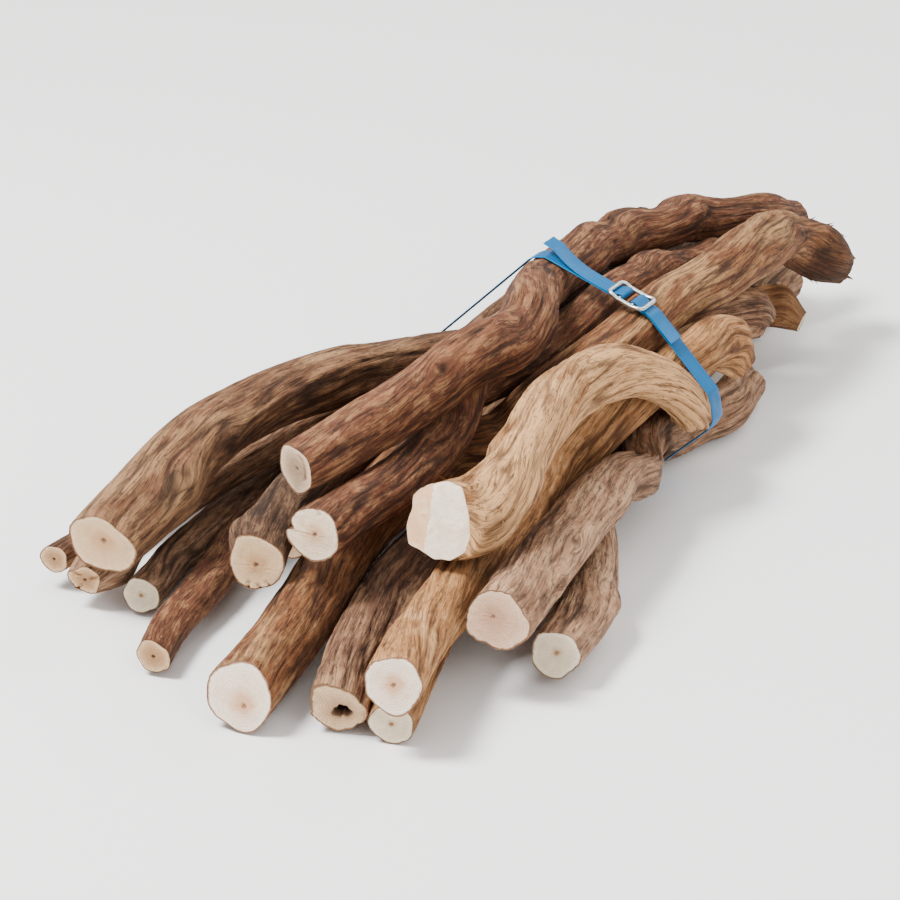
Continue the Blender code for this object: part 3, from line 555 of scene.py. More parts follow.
def two_strokes(corners, middle, inward, right, up):
    """The planes of both strokes, left one first, each as (depth, slope to the right, slope upwards)."""
    x, y, _ = on_end(corners, middle, right, up)
    table, depth = plane_table(x, y), (corners - middle) @ inward
    every, sizes, best = np.arange(len(x)), range(FEWEST_ON_STROKE, len(x) - FEWEST_ON_STROKE + 1), None
    for first, size in itertools.product(every, sizes):
        part = (first + np.arange(size)) % len(x)
        halves = sorted([part, np.setdiff1d(every, part)], key=lambda half: x[half].mean())
        planes = [np.linalg.lstsq(table[half], depth[half], rcond=None)[0] for half in halves]
        error = sum(np.abs(table[half] @ plane - depth[half]).sum()
                    for half, plane in zip(halves, planes))
        if best is None or error < best[0]:
            best = error, planes
    print("mean gap between the corners and the two strokes, mm:", round(best[0] / MM / len(x), 3))
    return best[1]


def chopped_rows(skin, corners):
    """Rows from the rim of the chopped end in to its middle, laid on the two strokes."""
    rim = skin[0]
    inward = -face_out(corners, skin[6])
    middle, _, right, up = end_frame(rim, -inward)
    left_stroke, right_stroke = two_strokes(corners, middle, inward, right, up)
    rows, places = [], []
    for share in np.linspace(RIM_SHARE, 0.04, 2 * INNER_STEPS):
        flat = middle + (rim - middle) * share
        x, y, spot = on_end(flat, middle, right, up)
        over_left, over_right = plane_table(x, y) @ left_stroke, plane_table(x, y) @ right_stroke
        blade_marks = 0.12 * np.sin(spot[:, 0] * 0.9 + spot[:, 1] * 0.35)
        chips = 0.3 * noise(spot / 4, 77) + 0.6 * noise(spot / 13, 78) + blade_marks
        level = smooth_step(share, 1.0, 0.93)
        own = (rim - middle) @ inward * share
        depth = own * (1 - level) + (np.maximum(over_left, over_right) + (chips + 0.2) * MM) * level
        rows.append(flat + inward * (depth - (flat - middle) @ inward)[:, None])
        places.append(cut_places(x, y, np.where(over_left > over_right, 0.15, 0.8)))
    return np.array(rows), np.array(places)


# %% [markdown]
# The roped stem has a hollow pith with a lip and a floor. Both are circles in the solid. Rot eats
# out such a hollow more to one side than to the other, so a few waves round the circle give it an
# uneven outline.

# %% Make the hollow end
EATEN_WAVES = ((2, -0.6, 0.2), (3, 1.3, 0.16), (7, 0, 0.07))


def hollow_rows(rim, edges, axis):
    """Rows from the rim in to the lip of the hollow pith, and down to its floor."""
    middle, _, right, up = end_frame(rim, axis)
    x, y, _ = on_end(rim, middle, right, up)
    turn = np.arctan2(y, x)[:, None]
    eaten = 1.05 + sum(wave * np.cos(count * turn + start) for count, start, wave in EATEN_WAVES)
    spokes = (right * np.cos(turn) + up * np.sin(turn)) * eaten
    lip, bottom = (ring.mean(axis=0) + spokes * radii(ring).mean() for ring in edges)
    rows, places = [], []
    for part in np.linspace(0.03, 1, INNER_STEPS + 3):
        flat = rim * (1 - part) + lip * part
        x, y, spot = on_end(flat, middle, right, up)
        dent = 0.2 * noise(spot / 3, 91) + 0.6 * noise(spot / 11, 92) - 0.8 * smooth_step(part, 0.85, 1)
        rows.append(flat + axis * (dent * MM * (part > 0.04))[:, None])
        places.append(cut_places(x, y, 1 - 0.5 * part))
    lip = rows[-1]
    for part in np.linspace(0, 1, INNER_STEPS)[1:]:
        flat = lip * (1 - part) + bottom * part
        x, y, _ = on_end(flat, middle, right, up)
        rows.append(flat)
        places.append(cut_places(x, y, 0.5 - 0.5 * part))
    return np.array(rows), np.array(places)


# %% [markdown]
# ## Colours and nodes
#
# Every finish below is made of nodes. One function adds a node with its settings and its links, and
# one turns the colour codes that a person can read into the linear values that the shader needs.
# Most finishes are painted the same way, coat over coat: a value such as a noise says where each
# colour goes, from the value where it starts to the value where it is at its strongest.

# %% Add nodes, read colours and paint
def tint(code):
    """The linear colour of an sRGB hex code, with an alpha of 1."""
    parts = [int(code[k:k + 2], 16) / 255 for k in (1, 3, 5)]
    return (*[p / 12.92 if p <= 0.04045 else ((p + 0.055) / 1.055) ** 2.4 for p in parts], 1.0)


def add_node(tree, kind, inputs=None, **settings):
    """Adds a node, sets its settings, and sets or links its inputs by name or number."""
    made = tree.nodes.new(kind)
    for key, value in settings.items():
        setattr(made, key, value)
    for key, value in (inputs or {}).items():
        if isinstance(value, bpy.types.NodeSocket):
            tree.links.new(value, made.inputs[key])
        else:
            made.inputs[key].default_value = value
    return made


def new_finish(name):
    finish = bpy.data.materials.new(name)
    finish.use_nodes = True
    return finish, finish.node_tree, finish.node_tree.nodes["Principled BSDF"]


def paint(tree, shader, base, coats):
    """Mixes coats over a base colour, each one as (value, colour, start, end, most)."""
    colour = tint(base)
    for value, code, start, end, most in coats:
        share = add_node(tree, "ShaderNodeMapRange", {
            "Value": value, "From Min": start, "From Max": end, "To Max": most})
        colour = add_node(tree, "ShaderNodeMix", {
            0: share.outputs[0], 6: colour, 7: tint(code)}, data_type="RGBA").outputs[2]
    tree.links.new(colour, shader.inputs["Base Color"])


def stack_bumps(tree, shader, bumps):
    """Adds one bump on top of another, each one as (value, height in mm, strength)."""
    ground = None
    for value, height, strength in bumps:
        bump = add_node(tree, "ShaderNodeBump", {
            "Height": value, "Strength": strength, "Distance": height * MM})
        if ground:
            tree.links.new(ground, bump.inputs["Normal"])
        ground = bump.outputs[0]
    tree.links.new(ground, shader.inputs["Normal"])


# %% [markdown]
# ## Bark
#
# Liana bark is dry, dead fibre. It has no shine, so its roughness is about 0.8 or more, with the
# IOR of wood, 1.54, and a weak specular level. Its colour changes at five sizes: broad patches of
# 26 mm, pale mottling of 5 mm where the skin has flaked, streaks about 2 mm wide and 34 mm long,
# fibres of a millimetre, and pits. Between the fibres run thin grooves, which are where a noise
# passes through its middle value. They are sunk in the bump and painted dark as painted shade.
# An image of bark would do it in one step, but it would stretch round the bends. Noise read at
# each point's place on the straightened stem follows the twist instead. The last coats are painted
# shade in the creases and in the hollows of the knots, and a darker colour where a stem's tone
# goes below zero. The last coats are the creases and dark parts, where dust and old skin stay.

# %% Make the bark finishes
BARK_PATTERNS = {"patches": (26, 55, 4.0), "mottle": (5.0, 13, 5.0), "streaks": (2.0, 34, 4.0),
                 "grooves": (4.4, 62, 3.0), "fibres": (1.0, 11, 3.0), "pits": (1.8, 4.5, 2.0)}
BARK_BUMPS = (("mottle", 0.9), ("streaks", 0.8), ("grooves", 0.7), ("fibres", 0.5), ("pits", 0.5))


def bark(name, crevice, body, patch, streak, mottle, bare, mottled):
    finish, tree, shader = new_finish(name)
    grain = add_node(tree, "ShaderNodeAttribute", attribute_name="grain").outputs["Vector"]
    masks = {title: add_node(tree, "ShaderNodeAttribute", attribute_name=title).outputs["Fac"]
             for title in ("crease", "worn", "dark")}
    for title, (wide, long, detail) in BARK_PATTERNS.items():
        size = (1 / (wide * MM), 1 / (wide * MM), 1 / (long * MM))
        placed = add_node(tree, "ShaderNodeVectorMath", {0: grain, 1: size}, operation="MULTIPLY")
        masks[title] = add_node(tree, "ShaderNodeTexNoise", {
            "Vector": placed.outputs[0], "Scale": 1.0, "Detail": detail, "Roughness": 0.6}).outputs["Fac"]
    middling = add_node(tree, "ShaderNodeMath", {0: masks["grooves"], 1: 0.5}, operation="SUBTRACT")
    parted = add_node(tree, "ShaderNodeMath", {0: middling.outputs[0]}, operation="ABSOLUTE")
    masks["grooves"] = parted.outputs[0]
    # Painted shade: the grooves and the crease mask take the crevice colour. The dark coat makes a stem
    # darker where its tone is below zero.
    paint(tree, shader, body, [(masks[title], *coat) for title, *coat in (
        ("patches", patch, 0.44, 0.60, 0.6), ("worn", bare, 0.05, 0.95, 0.8),
        ("mottle", mottle, 0.50, 0.60, mottled), ("streaks", streak, 0.50, 0.66, 0.65),
        ("fibres", crevice, 0.52, 0.70, 0.5), ("mottle", crevice, 0.44, 0.30, 0.4),
        ("pits", crevice, 0.60, 0.70, 0.6), ("dark", crevice, 0.0, 1.0, 0.75),
        ("grooves", crevice, 0.045, 0.0, 0.7), ("crease", crevice, 0.2, 1.0, 0.8))])
    rough = add_node(tree, "ShaderNodeMapRange", {
        "Value": masks["streaks"], "From Min": 0.3, "From Max": 0.7, "To Min": 0.94, "To Max": 0.78})
    tree.links.new(rough.outputs[0], shader.inputs["Roughness"])
    stack_bumps(tree, shader, [(masks[title], height, 1.0) for title, height in BARK_BUMPS])
    shader.inputs["IOR"].default_value = 1.54
    shader.inputs["Specular IOR Level"].default_value = 0.25
    return finish


# Colours of the crevices, which is also the painted shade in the grooves and creases, the body, its
# patches, the streaks, the mottling and the worn ridges, and how strong the mottling is.
BARK_COLOURS = {
    "mottled_brown": ("#1c0c05", "#6e422b", "#55311e", "#8a5b3b", "#a07550", "#9c714c", 0.6),
    "reddish": ("#231107", "#784a2b", "#623a21", "#9a6b43", "#a87d54", "#b08659", 0.35),
    "weathered": ("#21120a", "#6f4a30", "#583825", "#8d6444", "#9c7652", "#9c7652", 0.45),
    "weathered_dark": ("#1b1009", "#5e422f", "#4b3425", "#7b5a41", "#8e6d4f", "#8e6e50", 0.45),
    "grey_brown": ("#312015", "#997154", "#805b44", "#b38d6c", "#c29d7b", "#bf9a77", 0.45),
    "roped_dark": ("#24130c", "#78523c", "#573b2b", "#a9825f", "#b9926c", "#b08861", 0.3),
    "pale_tan": ("#41220d", "#a87649", "#8c5d38", "#c08d58", "#cd9f6e", "#ce9f6e", 0.4),
}
BARKS = {title: bark(title + "_bark", *colours) for title, colours in BARK_COLOURS.items()}
print("bark finishes:", len(BARKS))

# %% [markdown]
# ## Sawn wood
#
# The face of a fresh cut is the palest thing on the bundle: dry vine wood, sawn and left rough, at
# a roughness near 0.85. Its rings are faint and about 2 mm apart. The rays that run from the pith
# to the bark and the open vessels, 0.3 mm wide, are what tell it from board. Vessels that fine
# would vanish here, so they are drawn 0.9 mm apart. All of it is placed by the point's own place
# on the face, so the rings run round each stem's own pith. Older cuts are greyer and dirtier.

# %% Make the sawn finishes
RING_SPACING = 2.0 * MM
VESSEL_SPACING = 0.9 * MM
RAYS_ROUND = 26


def sawn(name, wood, heart, pith, sapwood, dirt, rim, heart_to, pith_to, dirty=0.5, ringed=0.35):
    finish, tree, shader = new_finish(name)
    place = add_node(tree, "ShaderNodeAttribute", attribute_name="cut").outputs["Vector"]
    across = add_node(tree, "ShaderNodeSeparateXYZ", {0: place}).outputs[2]
    flat = add_node(tree, "ShaderNodeVectorMath", {0: place, 1: (1, 1, 0)}, operation="MULTIPLY").outputs[0]
    turn = add_node(tree, "ShaderNodeVectorMath", {0: flat}, operation="NORMALIZE").outputs[0]
    smudge, grime, rays = (add_node(tree, "ShaderNodeTexNoise", {
        "Vector": where, "Scale": scale, "Detail": detail, "Roughness": rough}).outputs["Fac"]
        for where, scale, detail, rough in (
            (flat, 80.0, 5.0, 0.62), (flat, 420.0, 4.0, 0.7), (turn, RAYS_ROUND, 4.0, 0.7)))
    vessels = add_node(tree, "ShaderNodeTexVoronoi", {
        "Vector": flat, "Scale": 1 / VESSEL_SPACING, "Randomness": 1.0}).outputs["Distance"]
    edge, border, core = (add_node(tree, "ShaderNodeMath", {
        0: value, 1: sway, 2: across}, operation="MULTIPLY_ADD").outputs[0]
        for value, sway in ((smudge, 0.9), (grime, 0.05), (grime, 0.2)))
    away = add_node(tree, "ShaderNodeVectorMath", {0: flat}, operation="LENGTH").outputs["Value"]
    swing = add_node(tree, "ShaderNodeMath", {0: smudge, 1: 20.0}, operation="MULTIPLY").outputs[0]
    phase = add_node(tree, "ShaderNodeMath", {
        0: away, 1: 2 * math.pi / RING_SPACING, 2: swing}, operation="MULTIPLY_ADD").outputs[0]
    ring = add_node(tree, "ShaderNodeMath", {0: phase}, operation="SINE").outputs[0]
    paint(tree, shader, wood, (
        (edge, heart, heart_to + 0.45, 0.45 * heart_to + 0.45, 0.8), (edge, sapwood, 1.17, 1.33, 0.85),
        (smudge, dirt, 0.48, 0.70, dirty), (rays, dirt, 0.52, 0.72, 0.5), (ring, heart, 0.2, 1.0, ringed),
        (vessels, dirt, 0.30, 0.10, 0.5), (grime, dirt, 0.56, 0.72, 0.5),
        (border, rim, 0.955, 0.985, 0.9), (core, pith, pith_to + 0.11, 0.4 * pith_to + 0.11, 0.85)))
    stack_bumps(tree, shader, (
        (rays, 0.4, 1.0), (smudge, 0.6, 1.0), (grime, 0.25, 1.0), (vessels, 0.15, 1.0)))
    shader.inputs["Roughness"].default_value = 0.86
    shader.inputs["IOR"].default_value = 1.54
    shader.inputs["Specular IOR Level"].default_value = 0.3
    return finish


# Colours of the wood, the heart, the pith, the sapwood, the dirt and the rim, how far the heart and
# the pith reach, and on some faces how strong the dirt and the rings are.
CUT_COLOURS = {
    "fresh_sawn": ("#f2e0ca", "#d49c72", "#8e5a3a", "#f9eddb", "#cfa680", "#8e5c3a", 0.5, 0.10),
    "cream_sawn": ("#ead2b4", "#d0a47c", "#6a3c26", "#f4e4ca", "#bd9470", "#7c4e30", 0.5, 0.10),
    "beige_sawn": ("#dcb88e", "#c4956a", "#5c3824", "#e8caa4", "#b08860", "#7c5032", 0.5, 0.10),
    "grey_heart_sawn": ("#cbb294", "#96785f", "#40281d", "#ead0b0", "#8e6f56", "#784c2e", 0.78, 0.08),
    "grey_green_sawn": ("#dac8ac", "#bfa585", "#94643e", "#e8dcc2", "#a8937a", "#7c583a", 0.3, 0.14),
    "pinkish_sawn": ("#d6ae90", "#b88c70", "#684432", "#e4c4a6", "#ac8468", "#7c5438", 0.55, 0.06, 0.3),
    "browned_sawn": ("#cca67e", "#a0764f", "#281408", "#dfc096", "#8e6442", "#6c4326", 0.85, 0.16, 0.6),
    "hollowed_sawn": ("#d2ae88", "#7c5a42", "#22140e", "#e2c39a", "#8a6548", "#6c4629", 0.72, 0.52, 0.6),
    "chopped": ("#fff0d8", "#e2a872", "#e2a872", "#fff0d8", "#e0b98e", "#d2a276", 0.4, 0.02, 0.5, 0.12),
}
CUTS = {title: sawn(title + "_wood", *colours) for title, colours in CUT_COLOURS.items()}
print("finishes of cut wood:", len(CUTS))

# %% [markdown]
# ## Slivers and rootlets
#
# A chopped or torn end keeps slivers of fibre that stand off the stem, and the far end of the stout
# stem carries short rootlets. Hair curves would be the usual way, but the export drops them. Hair
# curves would be the usual way, but here each sliver is a small four-sided spike with a bend,
# closed at both ends, with its root sunk in the stem, and it is joined to the stem's own mesh.

# %% Make slivers
SLIVER_STEPS = 5
ROOT_DEPTH = 0.8 * MM
TAPER = 0.85

# How many, the band of the stem's length, the seed, the length, the width, how much they lift off,
# whether they point to the front, and the side that they keep to.
SLIVERS = {
    "splinters": [(16, (0.02, 0.06), 5, 9 * MM, 2.2 * MM, 0.5, True, None),
                  (5, (0.05, 0.09), 8, 10 * MM, 3.2 * MM, 0.8, True, (-0.5, -0.3, 0.8)),
                  (12, (0.02, 0.12), 9, 11 * MM, 2.4 * MM, 0.35, True, (0.9, -0.2, 0.2))],
    "rootlets": [(30, (0.94, 0.998), 6, 9 * MM, 4 * MM, 0.35, False, None)],
}


def sliver(root, out, along, length, width, lift):
    """Rows of four points from a sunk root to a sharp tip that lifts off the surface."""
    side = np.cross(out, along)
    side /= np.linalg.norm(side)
    rows = []
    for part in np.linspace(0, 1, SLIVER_STEPS + 1):
        middle = root + along * length * part + out * (lift * part**2 * length - ROOT_DEPTH * (1 - part))
        aside = side * width * (1 - TAPER * part) / 2
        thick = out * width * (1 - TAPER * part) / 4
        rows.append([middle + aside, middle + thick, middle - aside, middle - thick])
    return np.array(rows)


def slivers_on(grid, out, count, band, seed, length, width, lift, to_front, towards):
    """Slivers scattered over a band of a stem, each lying along its grain, with its root's place."""
    draw = np.random.default_rng(seed)
    made = []
    while len(made) < count:
        row = int((band[0] + (band[1] - band[0]) * draw.random()) * (len(grid) - 1))
        column = draw.integers(grid.shape[1])
        if towards is not None and out[row, column] @ np.array(towards) < 0.2:
            continue
        run = grid[min(row + 2, len(grid) - 1), column] - grid[max(row - 2, 0), column]
        run *= (-1 if to_front else 1) / np.linalg.norm(run)
        size = draw.uniform(0.5, 1.0)
        made.append((sliver(grid[row, column], out[row, column], run, length * size,
                            width * draw.uniform(0.6, 1.2), lift * draw.uniform(0.3, 1.0)), row, column))
    return made


# %% [markdown]
# ## One mesh for each stem
#
# The skin, both ends and the slivers of a stem are one object. bmesh could stitch the grid corner
# by corner, but a grid has a simple rule for its faces, so the faces are numbered with arrays. Each
# point also keeps what the shaders need: its place on the straightened stem, how deep it lies in a
# crease, which sets the painted shade, how worn and how dark it is, and its place on the sawn face.

# %% Build a piece from rows of points
SHARP_ABOVE = math.radians(62)


def tube(rows, first=0):
    """Points and faces of a closed tube from rows of points, with a point to close each end."""
    count, size = rows.shape[1], rows.shape[0] * rows.shape[1]
    numbers = first + np.arange(size).reshape(rows.shape[0], count)
    a, b = numbers[:-1], numbers[1:]
    quads = np.stack([a, np.roll(a, -1, axis=1), np.roll(b, -1, axis=1), b], axis=-1).reshape(-1, 4)
    low, high = first + size, first + size + 1
    fans = [(low, int(q), int(p)) for p, q in zip(numbers[0], np.roll(numbers[0], -1))]
    fans += [(high, int(p), int(q)) for p, q in zip(numbers[-1], np.roll(numbers[-1], -1))]
    points = np.concatenate([rows.reshape(-1, 3), [rows[0].mean(axis=0), rows[-1].mean(axis=0)]])
    return points, quads.tolist() + fans


def piece_from(name, points, faces, slots, finishes):
    """A smooth piece with its faces turned outwards."""
    mesh = bpy.data.meshes.new(name)
    mesh.from_pydata(points.tolist(), [], faces)
    mesh.polygons.foreach_set("material_index", np.array(slots, np.int32))
    for finish in finishes:
        mesh.materials.append(finish)
    turned = bmesh.new()
    turned.from_mesh(mesh)
    if turned.calc_volume(signed=True) < 0:
        bmesh.ops.reverse_faces(turned, faces=turned.faces)
    turned.to_mesh(mesh)
    turned.free()
    mesh.shade_smooth()
    mesh.set_sharp_from_angle(angle=SHARP_ABOVE)
    return into_scene(name, mesh)


def keep_values(piece, title, values):
    """Stores one number or one vector for each point of a piece, for its shader to read."""
    vector = values.ndim == 2
    made = piece.data.attributes.new(title, "FLOAT_VECTOR" if vector else "FLOAT", "POINT")
    made.data.foreach_set("vector" if vector else "value", values.astype(np.float32).ravel())


def triangles_in(piece):
    return sum(len(face.vertices) - 2 for face in piece.data.polygons)


# %% [markdown]
# ## Putting the stems together
#
# Each stem now runs through the same steps: refine, raise the relief, cut the ends, close the mesh.
# Two shapes belong to one stem each. One has a bite torn out of its rim, and one has a small nub of
# a lost side shoot beside its end.

# %% Shape the bite, the nub and the front ends
BITE_DEPTH, BITE_WIDTH, BITE_LENGTH = 5.5, 2.6, 9
NUB_HEIGHT, NUB_WIDTH, NUB_LENGTH, NUB_FROM_END = 5.5, 4.5, 5.5, 4


def hump(aside, wide, ahead, long):
    return np.exp(-(aside / wide) ** 2) * np.exp(-(ahead / long) ** 2)


def beside(out, towards):
    """Steps round the stem from the place that faces a direction, in mm."""
    count = out.shape[1]
    column = np.argmax(out[0] @ np.array(towards))
    return ((np.arange(count) - column + count // 2) % count - count // 2) * ROUND_STEP / MM


def own_shapes(stem, out, places, height):
    from_end = places[:, :1, 2] - places[0, 0, 2]
    if stem.get("notch"):
        aside = beside(out, (-0.9, -0.1, 0.35))
        height = height - BITE_DEPTH * hump(aside, BITE_WIDTH, from_end, BITE_LENGTH)
    if stem.get("nub"):
        aside = beside(out, (-0.75, -0.1, 0.65))
        height = height + NUB_HEIGHT * hump(aside, NUB_WIDTH, from_end - NUB_FROM_END, NUB_LENGTH)
    return height


def front_end(name, stem, skin):
    axis = face_out(skin[0], skin[4])
    if stem["face"] == "chopped":
        return chopped_rows(skin, rings[name][0])
    if hollows[name]:
        return hollow_rows(skin[0], hollows[name], axis)
    return end_rows(skin[0], axis, stem, 7 * stem["seed"], True)


def make_stem(name):
    stem = STEMS[name]
    grid = refine(rings[name], angular_end=stem["face"] == "chopped")
    out = facing(grid)
    places, bulge, pit = grain_places(grid, out, stem)
    height, crease, worn, dark = relief(places, bulge, pit, stem)
    skin = grid + out * own_shapes(stem, out, places, height)[..., None] * MM
    skin[..., 2] = np.maximum(skin[..., 2], 0)
    front_rows, front_places = front_end(name, stem, skin)
    back_axis = face_out(skin[-1], skin[-5])
    back_rows, back_places = end_rows(skin[-1], back_axis, stem, 7 * stem["seed"] + 3, False)
    before, after = len(front_rows), len(back_rows)
    points, faces = tube(np.concatenate([front_rows[::-1], skin, back_rows]))
    is_cut = [1] * before + [0] * (len(skin) - 1) + [1] * after
    slots = np.concatenate([np.repeat(is_cut, skin.shape[1]), np.ones(2 * skin.shape[1])]).tolist()

    def with_ends(values):
        return np.concatenate([values, values[:1], values[-1:]])

    def spread(values):
        whole = [np.repeat(values[:1], before, axis=0), values, np.repeat(values[-1:], after, axis=0)]
        return with_ends(np.concatenate(whole).reshape(-1, *values.shape[2:]))

    on_skin = {"grain": places * MM, "crease": crease, "worn": worn, "dark": dark}
    kept = {title: spread(values) for title, values in on_skin.items()}
    rim_places = np.zeros(skin.shape) + (0, 0, 1)
    kept["cut"] = with_ends(np.concatenate([front_places[::-1], rim_places, back_places]).reshape(-1, 3))
    on_skin["crease"], on_skin["cut"] = 0 * crease, rim_places
    bands = [band for kind, those in SLIVERS.items() if stem.get(kind) for band in those]
    for spike, row, column in [found for band in bands for found in slivers_on(skin, out, *band)]:
        more_points, more_faces = tube(spike, len(points))
        points, faces = np.concatenate([points, more_points]), faces + more_faces
        slots += [0] * len(more_faces)
        for title, values in on_skin.items():
            own = np.repeat(values[row, column][None], len(more_points), axis=0)
            kept[title] = np.concatenate([kept[title], own])
    piece = piece_from(name + "_skin", points, faces, slots, [BARKS[stem["bark"]], CUTS[stem["face"]]])
    for title, values in kept.items():
        keep_values(piece, title, values)
    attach(piece, "root")
    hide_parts(name)
    return piece


sizes = [triangles_in(make_stem(name)) for name in STEMS]
print("triangles in the stems:", sum(sizes), "in the largest:", max(sizes))

# %% [markdown]
# ## The strap
#
# The strap is extruded polypropylene, 15.5 mm wide and 0.9 mm thick. It is taut over the stems,
# folds back over both bars of the buckle, and its two cut ends spring up. Its solid is a strip of
# short flat runs. Bending a straight strip with a Curve modifier would need the same path again,
# so the path is read from the solid, row by row, from the tip of one tail to the tip of the other,
# then evened out a little so that it turns round the stems instead of breaking over them.

# %% Read the path of the strap
STRAP_WIDTH = 15.5 * MM
STRAP_THICKNESS = 0.9 * MM
PATH_STEP = 1.0 * MM
EVEN_OUT = 0.8 * MM
FACES_SIDEWAYS = 0.8


def side_outline(node):
    """The corners round one flat side of the strap's solid, in order."""
    body = bmesh.new()
    body.from_mesh(node.data)
    bmesh.ops.remove_doubles(body, verts=body.verts, dist=1e-6)
    body.normal_update()
    on_side = {f for f in body.faces if f.normal.y > FACES_SIDEWAYS}
    rim = {e for e in body.edges if sum(f in on_side for f in e.link_faces) == 1}
    edge = rim.pop()
    outline = [edge.verts[0], edge.verts[1]]
    while found := [e for e in outline[-1].link_edges if e in rim]:
        rim.discard(found[0])
        outline.append(found[0].other_vert(outline[-1]))
    points = np.array([v.co[:] for v in outline[:-1]])
    body.free()
    return points


def strap_middles(node):
    """The middle of each row of the strap, from tip to tip: the outline paired across its thickness."""
    outline = side_outline(node)
    half = len(outline) // 2
    pairings = []
    for start in range(half):
        turned = np.roll(outline, -start, axis=0)
        one, other = turned[:half], turned[half:][::-1]
        gap = np.linalg.norm(one - other, axis=1)
        pairings.append((np.abs(gap - STRAP_THICKNESS).sum(), start, (one + other) / 2))
    return min(pairings)[2] - (0, STRAP_WIDTH / 2, 0)


def length_along(points):
    return np.concatenate([[0], np.cumsum(np.linalg.norm(np.diff(points, axis=0), axis=1))])


def even_steps(points, step):
    """Points at equal steps along a row of straight runs."""
    length = length_along(points)
    wanted = np.linspace(0, length[-1], int(length[-1] / step))
    return np.stack([np.interp(wanted, length, points[:, k]) for k in range(3)], axis=-1)


def evened(points, reach, step):
    """Each point moved to the weighted mean of the points near it, with the ends kept."""
    half = int(3 * reach / step) + 1
    weights = np.exp(-0.5 * (np.arange(-half, half + 1) * step / reach) ** 2)
    weights /= weights.sum()
    padded = np.concatenate([[points[0]] * half, points, [points[-1]] * half])
    soft = np.stack([np.convolve(padded[:, k], weights, "valid") for k in range(3)], axis=-1)
    soft[0], soft[-1] = points[0], points[-1]
    return soft


coarse_path = strap_middles(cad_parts["strap"])
path = evened(even_steps(coarse_path, PATH_STEP), EVEN_OUT, PATH_STEP)
print("strap rows:", len(coarse_path), "length of the strap, m:", round(length_along(coarse_path)[-1], 3))

# %% [markdown]
# The strip is swept along that path. Its section is a flat bar with half-round edges.

# %% Sweep the strap
ROUND_EDGE = 4


def strap_section():
    """Points (across, out) round the section of the strap."""
    half, edge = STRAP_WIDTH / 2 - STRAP_THICKNESS / 2, STRAP_THICKNESS / 2
    points = []
    for side in (1, -1):
        for k in range(ROUND_EDGE + 1):
            angle = math.pi * (k / ROUND_EDGE - 0.5)
            points.append((side * (half + edge * math.cos(angle)), side * edge * math.sin(angle)))
        points += [(side * half * share, side * edge) for share in (0.5, 0.0, -0.5)]
    return np.array(points)


def sweep_strap(path):
    """Rows of points of the strap, and their places: across it, out of it and along it."""
    section = strap_section()
    run = np.gradient(path, axis=0)
    run[:, 1] = 0
    run /= np.linalg.norm(run, axis=1)[:, None]
    out = np.stack([run[:, 2], np.zeros(len(run)), -run[:, 0]], axis=-1)
    rows = path[:, None] + section[None, :, :1] * (0.0, 1.0, 0.0) + section[None, :, 1:] * out[:, None]
    sides = (section[:, 0], section[:, 1], length_along(path)[:, None])
    return rows, np.stack([np.broadcast_to(side, rows.shape[:2]) for side in sides], axis=-1)


strap_points, strap_places = sweep_strap(path)
print("points along and round the strap:", strap_points.shape[:2])

# %% [markdown]
# Extruded polypropylene is a waxy, slightly see-through plastic: IOR 1.49, satin, with a soft
# highlight along the strap. It is drawn lengthwise, which leaves fine lines 0.6 mm apart, and its
# faces are rolled with a shallow lozenge pattern, 1.8 mm from line to line, so that the buckle
# grips. Dust and scuffs dull it in patches, and its edges are paler where it was stressed.

# %% Make the strap's finish
DRAWN_LINES = (1700, 300, 22)
LOZENGE_ALONG = 2.5 * MM


def strap_plastic():
    finish, tree, shader = new_finish("extruded_polypropylene")
    place = add_node(tree, "ShaderNodeAttribute", attribute_name="strip").outputs["Vector"]
    parts = add_node(tree, "ShaderNodeSeparateXYZ", {0: place})
    lines = add_node(tree, "ShaderNodeVectorMath", {
        0: place, 1: DRAWN_LINES}, operation="MULTIPLY").outputs[0]
    drawn = add_node(tree, "ShaderNodeTexNoise", {
        "Vector": lines, "Scale": 1.0, "Detail": 2.0}).outputs["Fac"]
    dust = add_node(tree, "ShaderNodeTexNoise", {
        "Vector": place, "Scale": 85.0, "Detail": 4.0, "Roughness": 0.65}).outputs["Fac"]
    waves = []
    for sign in (1.0, -1.0):
        slant = add_node(tree, "ShaderNodeMath", {
            0: parts.outputs[0], 1: sign, 2: parts.outputs[2]}, operation="MULTIPLY_ADD").outputs[0]
        turn = add_node(tree, "ShaderNodeMath", {
            0: slant, 1: 2 * math.pi / LOZENGE_ALONG}, operation="MULTIPLY")
        waves.append(add_node(tree, "ShaderNodeMath", {0: turn.outputs[0]}, operation="SINE").outputs[0])
    lozenge = add_node(tree, "ShaderNodeMath", {0: waves[0], 1: waves[1]}, operation="MAXIMUM").outputs[0]
    side = add_node(tree, "ShaderNodeMath", {0: parts.outputs[0]}, operation="ABSOLUTE").outputs[0]
    paint(tree, shader, "#00588a", (
        (drawn, "#006ca4", 0.45, 0.75, 0.6), (side, "#007cb2", 6.9 * MM, 7.7 * MM, 0.4),
        (dust, "#3c7088", 0.62, 0.82, 0.2), (lozenge, "#004470", 0.75, 1.0, 0.4)))
    rough = add_node(tree, "ShaderNodeMapRange", {
        "Value": dust, "From Min": 0.35, "From Max": 0.7, "To Min": 0.34, "To Max": 0.55})
    tree.links.new(rough.outputs[0], shader.inputs["Roughness"])
    stack_bumps(tree, shader, ((lozenge, 0.08, 0.5), (drawn, 0.12, 0.7)))
    shader.inputs["Specular IOR Level"].default_value = 0.2
    shader.inputs["IOR"].default_value = 1.49
    return finish


